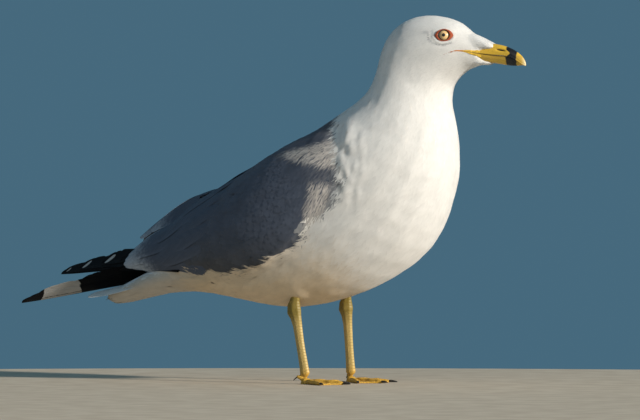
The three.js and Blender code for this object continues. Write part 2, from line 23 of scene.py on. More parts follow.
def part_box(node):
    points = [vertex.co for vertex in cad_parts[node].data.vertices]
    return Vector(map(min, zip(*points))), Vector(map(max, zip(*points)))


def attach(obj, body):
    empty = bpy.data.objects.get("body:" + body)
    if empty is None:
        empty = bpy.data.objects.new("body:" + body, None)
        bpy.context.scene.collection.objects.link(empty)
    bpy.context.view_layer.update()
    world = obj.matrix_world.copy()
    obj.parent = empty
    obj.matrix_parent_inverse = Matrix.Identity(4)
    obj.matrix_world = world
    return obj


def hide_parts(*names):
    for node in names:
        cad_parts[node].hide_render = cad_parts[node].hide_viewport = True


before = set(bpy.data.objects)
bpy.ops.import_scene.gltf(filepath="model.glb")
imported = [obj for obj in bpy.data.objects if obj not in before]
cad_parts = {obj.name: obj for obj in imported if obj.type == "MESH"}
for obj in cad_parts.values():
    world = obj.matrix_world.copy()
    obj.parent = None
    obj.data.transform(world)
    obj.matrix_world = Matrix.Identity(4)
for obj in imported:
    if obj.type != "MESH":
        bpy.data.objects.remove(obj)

LOG = logging.getLogger("gull")
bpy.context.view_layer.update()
MM = 0.001
MERGE_GAP = 1e-5  # metres
Array = np.ndarray
BAKE_MAP = "OFBake"
BAKE_PATCH = 0.003  # width of one feather's patch on its bake map


class Side(Enum):
    """A side of the bird, and the sign of Y there."""

    LEFT = 1
    RIGHT = -1

    @property
    def word(self) -> str:
        """The side's name as the nodes spell it."""
        return self.name.lower()


# ---- small tools ----
def ramp(x: Array, low: float, high: float) -> Array:
    """A smooth rise from 0 at low to 1 at high."""
    t = np.clip((x - low) / (high - low), 0.0, 1.0)
    return t * t * (3 - 2 * t)


def bell(x: Array, middle: float, width: float) -> Array:
    """A smooth hump of height 1 over middle."""
    return np.exp(-(((x - middle) / width) ** 2))


def circle(count: int) -> Array:
    """Angles spread evenly over a full turn."""
    return np.linspace(0, 2 * math.pi, count, endpoint=False)


def unit(v: Array) -> Array:
    """Rows of v with length one."""
    return v / np.maximum(np.linalg.norm(v, axis=-1, keepdims=True), 1e-12)


def smooth_line(points: Sequence[Sequence[float]], count: int) -> Array:
    """Reads a Catmull-Rom curve through rows of numbers.

    Args:
        points: Rows that the curve passes through.
        count: How many rows to return, spread evenly over the stretches.

    Returns:
        An array of count rows.
    """
    rows = np.asarray(points, float)
    padded = np.vstack([2 * rows[0] - rows[1], rows, 2 * rows[-1] - rows[-2]])
    place = np.linspace(0, len(rows) - 1 - 1e-9, count)
    i = place.astype(int)
    t = (place - i)[:, None]
    a, b, c, d = (padded[i + k] for k in range(4))
    square, cube = 2 * a - 5 * b + 4 * c - d, 3 * b - a - 3 * c + d
    return 0.5 * (2 * b + (c - a) * t + square * t**2 + cube * t**3)


def new_object(name: str, verts: Array, faces: Sequence[Sequence[int]]) -> Object:
    """Makes a smooth-shaded mesh object at the origin.

    Args:
        name: The object's name.
        verts: Points in metres.
        faces: Each face's point numbers.

    Returns:
        The new object.
    """
    mesh = bpy.data.meshes.new(name)
    mesh.from_pydata(np.asarray(verts, float).tolist(), [], [tuple(f) for f in faces])
    mesh.validate()
    shade_smooth(mesh)
    return linked(name, mesh)


def linked(name: str, data: bpy.types.ID) -> Object:
    """Makes an object of the data and puts it in the scene."""
    obj = bpy.data.objects.new(name, data)
    bpy.context.scene.collection.objects.link(obj)
    return obj


def shade_smooth(mesh: Mesh) -> None:
    """Makes every face smooth-shaded."""
    mesh.polygons.foreach_set("use_smooth", np.ones(len(mesh.polygons), bool))


@contextmanager
def opened(obj: Object) -> Iterator[bmesh.types.BMesh]:
    """Opens an object's mesh for changes, and puts it back.

    Args:
        obj: The object.

    Yields:
        The open mesh.
    """
    work = bmesh.new()
    work.from_mesh(obj.data)
    yield work
    work.to_mesh(obj.data)
    work.free()


def merge_doubles(obj: Object) -> None:
    """Merges the loose corners of a copied solid."""
    with opened(obj) as work:
        bmesh.ops.remove_doubles(work, verts=work.verts, dist=MERGE_GAP)


def face_outwards(obj: Object) -> None:
    """Turns every closed shell's faces outwards."""
    with opened(obj) as work:
        bmesh.ops.recalc_face_normals(work, faces=work.faces)


def tube_faces(rings: int, around: int) -> list[tuple[int, ...]]:
    """Faces of a tube of rings, with its two ends closed by flat caps.

    Args:
        rings: Number of rings.
        around: Points in each ring.

    Returns:
        Each face's point numbers.
    """
    faces: list[tuple[int, ...]] = []
    for a in range(0, (rings - 1) * around, around):
        b = a + around
        faces += [(a + j, a + (j + 1) % around, b + (j + 1) % around, b + j) for j in range(around)]
    faces.append(tuple(reversed(range(around))))
    faces.append(tuple(range((rings - 1) * around, rings * around)))
    return faces


def set_floats(mesh: Mesh, name: str, values: Array) -> None:
    """Stores one number, vector or colour for each vertex.

    Args:
        mesh: The mesh.
        name: The attribute's name.
        values: A row for each vertex.
    """
    kinds = {1: ("FLOAT", "value"), 3: ("FLOAT_VECTOR", "vector"), 4: ("FLOAT_COLOR", "color")}
    values = np.asarray(values, np.float32)
    kind, key = kinds[1 if values.ndim == 1 else values.shape[1]]
    attribute = mesh.attributes.new(name, kind, "POINT")
    attribute.data.foreach_set(key, values.ravel())


def get_floats(mesh: Mesh, name: str) -> Array:
    """Reads a vector attribute of the vertices as rows."""
    values = np.zeros(len(mesh.vertices) * 3, np.float32)
    mesh.attributes[name].data.foreach_get("vector", values)
    return values.reshape(-1, 3)


def vertex_places(mesh: Mesh) -> Array:
    """All vertex positions, in millimetres."""
    values = np.zeros(len(mesh.vertices) * 3, np.float32)
    mesh.vertices.foreach_get("co", values)
    return values.reshape(-1, 3).astype(float) / MM


def vertex_normals(mesh: Mesh) -> Array:
    """All vertex normals."""
    values = np.zeros(len(mesh.vertices) * 3, np.float32)
    mesh.vertex_normals.foreach_get("vector", values)
    return values.reshape(-1, 3).astype(float)


def move_vertices(mesh: Mesh, points: Array) -> None:
    """Puts the vertices at points in millimetres."""
    mesh.vertices.foreach_set("co", (points * MM).ravel())
    mesh.update()


def applied(obj: Object) -> None:
    """Turns the object's modifiers into plain mesh.

    Args:
        obj: The object.
    """
    graph = bpy.context.evaluated_depsgraph_get()
    seen = obj.evaluated_get(graph)
    mesh = bpy.data.meshes.new_from_object(seen, preserve_all_data_layers=True, depsgraph=graph)
    obj.modifiers.clear()
    old = obj.data
    obj.data = mesh
    bpy.data.meshes.remove(old)


def deliver(obj: Object, nodes: Sequence[str] = ()) -> None:
    """Hands a finished piece to the frame.

    Args:
        obj: The piece.
        nodes: The nodes it stands for.
    """
    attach(obj, "root")
    if nodes:
        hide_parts(*nodes)
    triangles = sum(len(p.vertices) - 2 for p in obj.data.polygons)
    LOG.info("%s: %d triangles", obj.name, triangles)


# ---- finishes ----
class Graph:
    """A material's node tree, with short calls for the nodes it needs."""

    def __init__(self, name: str) -> None:
        """Starts an empty material with its shader joined to its output.

        Args:
            name: The material's name.
        """
        self.material = bpy.data.materials.new(name)
        self.material.use_nodes = True
        self.tree = self.material.node_tree
        self.tree.nodes.clear()
        output = self.tree.nodes.new("ShaderNodeOutputMaterial")
        self.shader = self.tree.nodes.new("ShaderNodeBsdfPrincipled")
        self.tree.links.new(self.shader.outputs[0], output.inputs[0])

    def put(self, node: bpy.types.Node, key: str | int, value: object) -> None:
        """Sets an input to a number or colour, or joins it to another node's output."""
        if isinstance(value, NodeSocket):
            self.tree.links.new(value, node.inputs[key])
        else:
            node.inputs[key].default_value = value

    def node(
        self, kind: str, inputs: dict | None = None, out: str | int = 0, **settings: object
    ) -> NodeSocket:
        """Adds a node.

        Args:
            kind: The node's type without its ShaderNode prefix.
            inputs: Values or sockets by input name or number.
            out: The output to return.
            **settings: The node's own properties.

        Returns:
            The chosen output socket.
        """
        node = self.tree.nodes.new("ShaderNode" + kind)
        for key, value in settings.items():
            setattr(node, key, value)
        for key, value in (inputs or {}).items():
            self.put(node, key, value)
        return node.outputs[out]

    def math(self, operation: str, a: object, b: object = 0.0, c: object = 0.0) -> NodeSocket:
        """A Math node's result."""
        return self.node("Math", {0: a, 1: b, 2: c}, operation=operation)

    def times(self, a: object, b: object) -> NodeSocket:
        """Two numbers multiplied."""
        return self.math("MULTIPLY", a, b)

    def plus(self, a: object, b: object) -> NodeSocket:
        """Two numbers added."""
        return self.math("ADD", a, b)

    def minus(self, a: object, b: object) -> NodeSocket:
        """The first number less the second."""
        return self.math("SUBTRACT", a, b)

    def between(
        self, value: object, low: float, high: float, start: float = 0.0, end: float = 1.0
    ) -> NodeSocket:
        """A smooth change from start to end as value goes from low to high."""
        inputs = {"Value": value, "From Min": low, "From Max": high, "To Min": start, "To Max": end}
        return self.node("MapRange", inputs, interpolation_type="SMOOTHSTEP")

    def mix(self, share: object, a: object, b: object, way: str = "MIX") -> NodeSocket:
        """Two colours mixed."""
        inputs = {0: share, 6: a, 7: b}
        return self.node("Mix", inputs, out=2, data_type="RGBA", blend_type=way)

    def attribute(self, name: str, out: str = "Fac") -> NodeSocket:
        """A mesh attribute's value."""
        return self.node("Attribute", out=out, attribute_name=name)

    def parts(self, vector: object) -> list:
        """The three parts of a vector."""
        self.node("SeparateXYZ", {0: vector})
        return list(self.tree.nodes[-1].outputs)

    def place(self) -> NodeSocket:
        """The point's own position on the object."""
        return self.node("TexCoord", out="Object")

    def noise(self, scale: float, detail: float = 2.0, vector: object = None) -> NodeSocket:
        """A noise pattern; scale is repeats for each metre."""
        inputs = {"Vector": vector or self.place(), "Scale": scale, "Detail": detail}
        return self.node("TexNoise", inputs, out="Fac")

    def cells(self, scale: float, feature: str = "DISTANCE_TO_EDGE") -> NodeSocket:
        """Distance to the edges, or to the middles, of small cells."""
        inputs = {"Vector": self.place(), "Scale": scale}
        return self.node("TexVoronoi", inputs, feature=feature)

    def bump(self, height: object, depth: float, strength: float = 1.0) -> None:
        """Raises the surface by height times depth in metres."""
        inputs = {"Height": height, "Distance": depth, "Strength": strength}
        if self.shader.inputs["Normal"].is_linked:
            inputs["Normal"] = self.shader.inputs["Normal"].links[0].from_socket
        self.put(self.shader, "Normal", self.node("Bump", inputs))

    def finish(self, base: object, rough: object, **sockets: object) -> Material:
        """Sets the shader's colour, roughness and plain numbers.

        Args:
            base: A colour or socket.
            rough: A number or socket.
            **sockets: Plain numbers by socket name, with _ for a space.

        Returns:
            The material.
        """
        self.put(self.shader, "Base Color", base)
        self.put(self.shader, "Roughness", rough)
        for key, value in sockets.items():
            self.shader.inputs[key.replace("_", " ")].default_value = value
        return self.material


@dataclass(frozen=True)
class PlumageFinish:
    """Feathers: their own tint, fine barbs, mottling, and painted shade darkening each towards its
    root.
    """

    name: str
    roughness: float = 0.8
    sheen: float = 0.25
    barbs: float = 26.0
    relief: float = 0.00005
    # painted shade: each feather darkens towards its root, where the feathers over it lie
    root_shade: float = 0.93
    mottle: float = 0.05

    def make(self) -> Material:
        """Builds the material.

        Returns:
            The material.
        """
        g = Graph(self.name)
        tint = g.attribute("tint", out="Color")
        along, across, _ = g.parts(g.attribute("vane", out="Vector"))
        patch = g.noise(90.0, 3.0)
        # painted shade towards each feather's root
        shade = g.between(along, 0.15, 0.8, self.root_shade, 1.0)
        mottle = g.between(patch, 0.3, 0.7, 1.0 - self.mottle, 1.0 + self.mottle / 2)
        shade = g.times(shade, mottle)
        base = g.mix(1.0, tint, shade, way="MULTIPLY")
        slant = g.math("MULTIPLY_ADD", g.math("ABSOLUTE", across), -0.55, along)
        line = g.math("SINE", g.times(slant, self.barbs * 6.0))
        streak = g.math("SINE", g.times(across, self.barbs))
        g.bump(g.plus(line, streak), self.relief, 0.5)
        fuzz = {"Sheen_Weight": self.sheen, "Sheen_Roughness": 0.5}
        return g.finish(base, self.roughness, **fuzz, Specular_IOR_Level=0.25)


@dataclass(frozen=True)
class SkinFinish:
    """The skin under the feathers, in the feathers' colours, painted shade included."""

    name: str = "down_skin"

    def make(self) -> Material:
        """Builds the material.

        Returns:
            The material.
        """
        g = Graph(self.name)
        tint = g.attribute("tint", out="Color")
        fluff = g.noise(900.0, 4.0)
        base = g.mix(1.0, tint, g.between(fluff, 0.3, 0.7, 0.86, 1.0), way="MULTIPLY")
        g.bump(fluff, 0.0006, 0.6)
        return g.finish(base, 0.9, Sheen_Weight=0.3, Specular_IOR_Level=0.1)


@dataclass(frozen=True)
class QuillFinish:
    """Long flight feathers: slanting barbs, a horny shaft and crisp markings."""

    name: str
    roughness: float = 0.5
    gloss: float = 0.35
    barbs: float = 170.0
    soft: float = 0.12  # how gradually the pale marking starts

    def make(self) -> Material:
        """Builds the material.

        Returns:
            The material.
        """
        g = Graph(self.name)
        dark, light = g.attribute("dark", out="Color"), g.attribute("light", out="Color")
        along, across, _ = g.parts(g.attribute("vane", out="Vector"))
        wobble = g.math("MULTIPLY_ADD", g.noise(420.0, 2.0), 0.5, -0.25)
        mark = g.between(g.plus(g.attribute("mark"), wobble), -self.soft, self.soft)
        base = g.mix(mark, dark, light)
        streak = g.noise(1.0, 3.0, self._stretched(g, along, across))
        streak = g.between(streak, 0.3, 0.7, 0.86, 1.08)
        # the shade attribute carries painted shade and highlight from the long feathers
        base = g.mix(1.0, base, g.times(streak, g.attribute("shade")), way="MULTIPLY")
        slant = g.math("MULTIPLY_ADD", g.math("ABSOLUTE", across), -0.16, along)
        line = g.math("SINE", g.times(slant, self.barbs * 6.28))
        g.bump(line, 0.00008, 0.45)
        return g.finish(base, self.roughness, Sheen_Weight=0.05, Specular_IOR_Level=self.gloss)

    @staticmethod
    def _stretched(g: Graph, along: object, across: object) -> NodeSocket:
        """Coordinates that draw noise out into streaks along the barbs."""
        slant = g.math("MULTIPLY_ADD", g.math("ABSOLUTE", across), -0.16, along)
        return g.node("CombineXYZ", {0: g.times(slant, 60.0), 1: g.times(across, 1.5)})


# ---- the body's plan ----
# The middle line of the body from the bill's root to the tail, as x and z.
SPINE = [
    (189.0, 262.0),  # bill root
    (169.6, 267.0),  # forehead
    (153.0, 267.0),  # crown
    (136.0, 260.5),  # hind crown
    (125.4, 244.0),  # upper neck
    (122.0, 222.5),  # lower neck
    (112.0, 198.5),  # shoulder
    (88.6, 169.0),  # chest
    (54.0, 135.0),  # keel
    (12.0, 105.0),  # hind belly
    (-31.0, 86.5),  # vent
    (-77.0, 83.0),  # tail root
    (-123.5, 76.0),  # under-tail plume
    (-165.0, 66.0),  # tail tip
]
WHITE = np.array([0.88, 0.865, 0.835])
# painted shade: the mantle's grey is set darker and bluer than its real pale grey, as the folded
# wings look in shade
GREY = np.array([0.078, 0.096, 0.138])
BLACK = np.array([0.0025, 0.0025, 0.0035])
TIP_WHITE_IN_SHADE = np.array([0.42, 0.46, 0.52])  # painted shade: the tertials' white ends in the bluish grey they show in shade
EDGE_GREY = np.array([0.45, 0.46, 0.47])
PAINTED_SUN_ON_WISPS = np.array([0.78, 0.72, 0.66])  # the loose pale ends at the front of the wing, their warm tint painted sunlight
BELLY_BUFF_AND_SHADE = np.array([0.11, 0.28, 0.49])  # how much of each colour the belly takes from the white: partly a buff stain, partly painted warm shade
# greyer under the tail: partly soiling, partly painted shade
VENT_SOIL_AND_SHADE = np.array([0.38, 0.42, 0.48])
PLUME_BLUE_SHADE = np.array([0.16, 0.08, 0.0])  # painted bluish shade on the upper side of the white plume under the wing tips
# soft grey behind the eyes, and painted shade in the groove under the lower lids
FACE_GREY_AND_SHADE = np.array([0.5, 0.49, 0.46])
# The grey wing's lower edge as x and z, and its front edge as z and x. The back is grey too.
WING_FOOT = [
    (-90, 92), (-66, 89.5), (-20, 86.5), (8, 94.5), (20, 102),
    (40, 108), (53, 117), (57, 130), (70, 139), (84, 149),
]  # fmt: skip
WING_FRONT = [(146, 84), (165, 87), (180, 84), (192, 77), (205, 70), (225, 62)]
LEGS = {Side.RIGHT: (27.4, -24.0), Side.LEFT: (48.8, 24.0)}  # the heel joints' x and y


@dataclass(frozen=True)
class WingCover:
    """The rounded form that the folded wings lie on."""

    rows: tuple = (  # x, top, widest level, foot, half width, and how far the left ridge rises
        (89.6, 221, 160, 84, 46.5, 0),
        (67.6, 218, 150, 70, 53, 0),
        (39.6, 204, 138, 62, 56.5, 0),
        (9.6, 190.5, 128, 61, 56.5, 0),
        (-20.4, 172, 119, 64, 52.5, 0),
        (-45.4, 156, 111, 68, 46, 3),
        (-70.4, 142.5, 104, 74, 38, 12),
        (-92.4, 127, 99, 78, 30, 18.5),
        (-114.4, 116, 95, 83, 22, 14),
        (-136.4, 101, 91, 85, 14, 10),
    )

    def at(self, x: Array, degrees: Array, lift: Array, side: Side) -> Array:
        """Reads points on or over the cover.

        Args:
            x: Places along the bird.
            degrees: Angles above the widest level.
            lift: Heights over the cover.
            side: Which wing.

        Returns:
            Points in millimetres.
        """
        table = smooth_line(self.rows, 300)[::-1]
        top, mid, low, half, hump = (np.interp(x, table[:, 0], table[:, k]) for k in range(1, 6))
        turn = np.radians(degrees)
        ridge = ramp(degrees, 15, 58) * ramp(-degrees, -96, -62)
        raised = hump * ridge if side is Side.LEFT else 0
        reach = np.where(degrees > 0, top - mid, mid - low) + lift
        out = side.value * (half + lift) * np.cos(turn)
        return np.stack([x, out, mid + reach * np.sin(turn) + raised], -1)


@dataclass
class BodyPlan:
    """Directions, distances, markings and painted shade over the whole body."""

    samples: int = 220
    blend: float = 11.0  # how far the lie of the feathers is smoothed, mm
    spine: Array = field(init=False)

    def __post_init__(self) -> None:
        """Samples the middle line and its directions."""
        line = smooth_line(SPINE, self.samples)
        self.spine = np.stack([line[:, 0], np.zeros(self.samples), line[:, 1]], 1)
        steps = np.linalg.norm(np.diff(self.spine, axis=0), axis=1)
        self.reach = np.concatenate([[0.0], np.cumsum(steps)])
        self.heading = unit(np.gradient(self.spine, axis=0))
        self.back = np.stack([self.heading[:, 2], 0 * self.reach, -self.heading[:, 0]], 1)

    def along(self, points: Array) -> tuple[Array, Array, Array]:
        """Reads the plan at points.

        Args:
            points: Rows in millimetres.

        Returns:
            The distance from the bill's root along the middle line, the angle round it
            (0 on the back, positive on the left) and the way to the tail.
        """
        stations, angles, ways = [], [], []
        square = (self.spine**2).sum(1)
        for rows in np.array_split(points, max(1, len(points) // 8000)):
            gap = (rows**2).sum(1)[:, None] + square[None] - 2 * rows @ self.spine.T
            best = gap.argmin(1)
            weight = np.exp((gap.min(1, keepdims=True) - gap) / (2 * self.blend**2))
            weight /= weight.sum(1, keepdims=True)
            stations.append(weight @ self.reach)
            ways.append(weight @ self.heading)
            rise = ((rows - self.spine[best]) * self.back[best]).sum(1)
            angles.append(np.arctan2(rows[:, 1], rise))
        way = unit(np.concatenate(ways))
        return np.concatenate(stations), np.concatenate(angles), way

    @staticmethod
    def greyness(points: Array) -> Array:
        """How grey the plumage is.

        Args:
            points: Rows in millimetres.

        Returns:
            0 for white to 1 for the mantle's grey.
        """
        x, y, z = points.T
        wobble = 0.9 * np.sin(x * 0.55 + y * 0.2) + 0.8 * np.sin(z * 0.5 + y * 0.35)
        wobble *= ramp(x, -85, -25)
        foot, front = np.array(WING_FOOT, float), np.array(WING_FRONT, float)
        above = ramp(z + wobble - np.interp(x, foot[:, 0], foot[:, 1]), -1.5, 1.5)
        behind = ramp(np.interp(z, front[:, 0], front[:, 1]) + 2 * wobble - x, -5, 5)
        return above * behind * ramp(x + 45 * ramp(z, 97, 105), -84, -76)

    def tint(self, points: Array, grey: Array) -> Array:
        """The plumage's colour, stains and painted shade included, at points in millimetres."""
        base = WHITE + (EDGE_GREY - WHITE) * ramp(grey, 0.0, 0.5)[:, None]
        base = base + (GREY - EDGE_GREY) * ramp(grey, 0.3, 0.9)[:, None]
        base = base * (1 - self.face_shade(points)[:, None] * FACE_GREY_AND_SHADE)
        return base * self.stain(points)

    @staticmethod
    def stain(points: Array) -> Array:
        """How the white is dulled by stains and painted shade: warmer and darker low on the belly,
        greyer under the tail, and bluer on the plume under the wing tips.

        Args:
            points: Rows in millimetres.

        Returns:
            What is left of each colour.
        """
        x, _, z = points.T
        vent_line = 88.8 + 0.295 * (np.minimum(x, -60) + 90.4) + 60 * ramp(x, -90, -60)
        under = ramp(vent_line - z, -1, 2.5)
        belly = ramp(135 - z, 0, 60) * ramp(110 - x, 0, 50) * ramp(x, -90, -30) * under
        vent = ramp(-x, 20, 90) * ramp(100 - z, 0, 20) * under
        plume = ramp(-x, 90, 100)[:, None] * (1 - under)[:, None]
        # painted shade: darker and warmer low on the belly, greyer under the tail, bluer under the
        # wing tips; the belly and vent also carry real stains
        shade = belly[:, None] * BELLY_BUFF_AND_SHADE + vent[:, None] * VENT_SOIL_AND_SHADE
        return 1 - shade - plume * PLUME_BLUE_SHADE

    def face_shade(self, points: Array) -> Array:
        """Soft grey behind the eyes and over the ears, and painted shade in the groove round the
        lower lids.

        Args:
            points: Rows in millimetres.

        Returns:
            0 to 1 for each point.
        """
        shade = np.zeros(len(points))
        for side in Side:
            dx, dy, dz = (points - EyeFrame(side).centre).T
            near = ramp(-np.abs(dy), -10, -6)
            behind = np.exp(-(((dx + 13.5) / 3.8) ** 2) - ((dz - 2.2) / 1.5) ** 2)
            # painted shade along the groove under the lower lid
            groove = np.exp(-((np.hypot(dx / 10.8, dz / 7.6) - 1) ** 2) / 0.006)
            groove *= ramp(-dz - 0.4 * dx, 1.0, 4.5)
            ear = np.exp(-(((dx + 27) / 13) ** 2) - ((dz - 3) / 7) ** 2)
            shade += near * (0.75 * behind + 1.0 * groove + 0.1 * ear)
        return np.clip(shade, 0, 1)


def copied(names: Sequence[str]) -> tuple[list, list]:
    """Puts some solids together.

    Args:
        names: The solids' nodes.

    Returns:
        Points in metres, and faces.
    """
    verts, faces = [], []
    for name in names:
        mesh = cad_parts[name].data
        faces += [[i + len(verts) for i in p.vertices] for p in mesh.polygons]
        verts += [tuple(v.co) for v in mesh.vertices]
    return verts, faces


class EyeFrame:
    """One eye's middle and directions: forwards along the lids, up, and out of the head."""

    turn = 0.3  # the lids face this far forwards
    tip = 0.13  # and this far up

    def __init__(self, side: Side) -> None:
        """Works out the frame from the eye's bare ring.

        Args:
            side: Which eye.
        """
        low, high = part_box(f"eye_ring_{side.word}")
        middle = np.array((low + high) / 2) / MM
        c, s = math.cos(self.turn), math.sin(self.turn)
        level = math.cos(self.tip)
        self.out = np.array([s * level, side.value * c * level, math.sin(self.tip)])
        self.ahead = np.array([c, -side.value * s, 0.0])
        up = np.cross(self.ahead, self.out) * side.value
        self.up = up if up[2] > 0 else -up
        self.centre = middle - 0.4 * self.out

    def local(self, points: Array) -> Array:
        """Points in the frame: ahead, up, out."""
        return (points - self.centre) @ np.stack([self.ahead, self.up, self.out], 1)

    def world(self, local: Array) -> Array:
        """The reverse."""
        return self.centre + local @ np.stack([self.ahead, self.up, self.out])


# ---- the skin ----
FLESH = ["head", "neck", "trunk", "tail"]
FLESH += [f"{part}_{side.word}" for part in ("wing", "thigh") for side in Side]
# Feathered skin over and under the bill's root: x, middle z, half height, half width.
LORES = [
    (160, 269, 7, 9), (174, 272, 6.6, 9), (181, 271, 5.6, 8.9),
    (187, 269.8, 4, 8.4), (192, 268.8, 2.5, 7.4), (195, 268.4, 1.2, 5.6),
]  # fmt: skip
CHIN = [
    (160, 257, 8, 9), (172, 257.6, 5.6, 9), (177, 257.6, 4.2, 8.2),
    (182, 256.8, 2.8, 7), (188, 255.8, 1.8, 5.2), (193, 255.3, 1, 3.2),
]  # fmt: skip
# The yellow wedge at the corner of the mouth: x, middle z and half height.
GAPE = [
    (157.5, 262, 0.25), (162, 263.9, 0.4), (167, 265.3, 0.5), (173, 265, 0.85),
    (179, 263.8, 2), (184, 262.9, 3), (188, 262.4, 3),
]  # fmt: skip


def coat_depth(station: Array) -> Array:
    """How thick the coat lies, in millimetres, by the distance from the bill's root."""
    return np.interp(station, [0, 12, 40, 90, 150], [0.45, 0.6, 0.8, 1.1, 1.3])


def spindle(
    rows: Sequence[Sequence[float]], around: int = 20, along: int = 14
) -> tuple[Array, list]:
    """A closed tube along X with rounded square sections.

    Args:
        rows: The x, middle z, half height and half width of each section, in millimetres.
        around: Points round each section.
        along: Number of sections.

    Returns:
        Points in metres and faces.
    """
    x, z, high, wide = smooth_line(rows, along).T
    turn = circle(around)
    ring = np.stack([np.cos(turn), np.sin(turn)], 1)
    ring = np.sign(ring) * np.abs(ring) ** 0.7
    points = np.zeros((along, around, 3))
    points[..., 0] = x[:, None]
    points[..., 1] = wide[:, None] * ring[None, :, 0]
    points[..., 2] = z[:, None] + high[:, None] * ring[None, :, 1]
    return points.reshape(-1, 3) * MM, tube_faces(along, around)


@dataclass
class Spots:
    """Places on the skin and what the skin knows there."""

    points: Array
    normals: Array
    station: Array
    angle: Array
    lie: Array
    grey: Array
    depth: Array

    def only(self, keep: Array) -> "Spots":
        """The chosen places."""
        return Spots(*(getattr(self, name)[keep] for name in self.__dataclass_fields__))


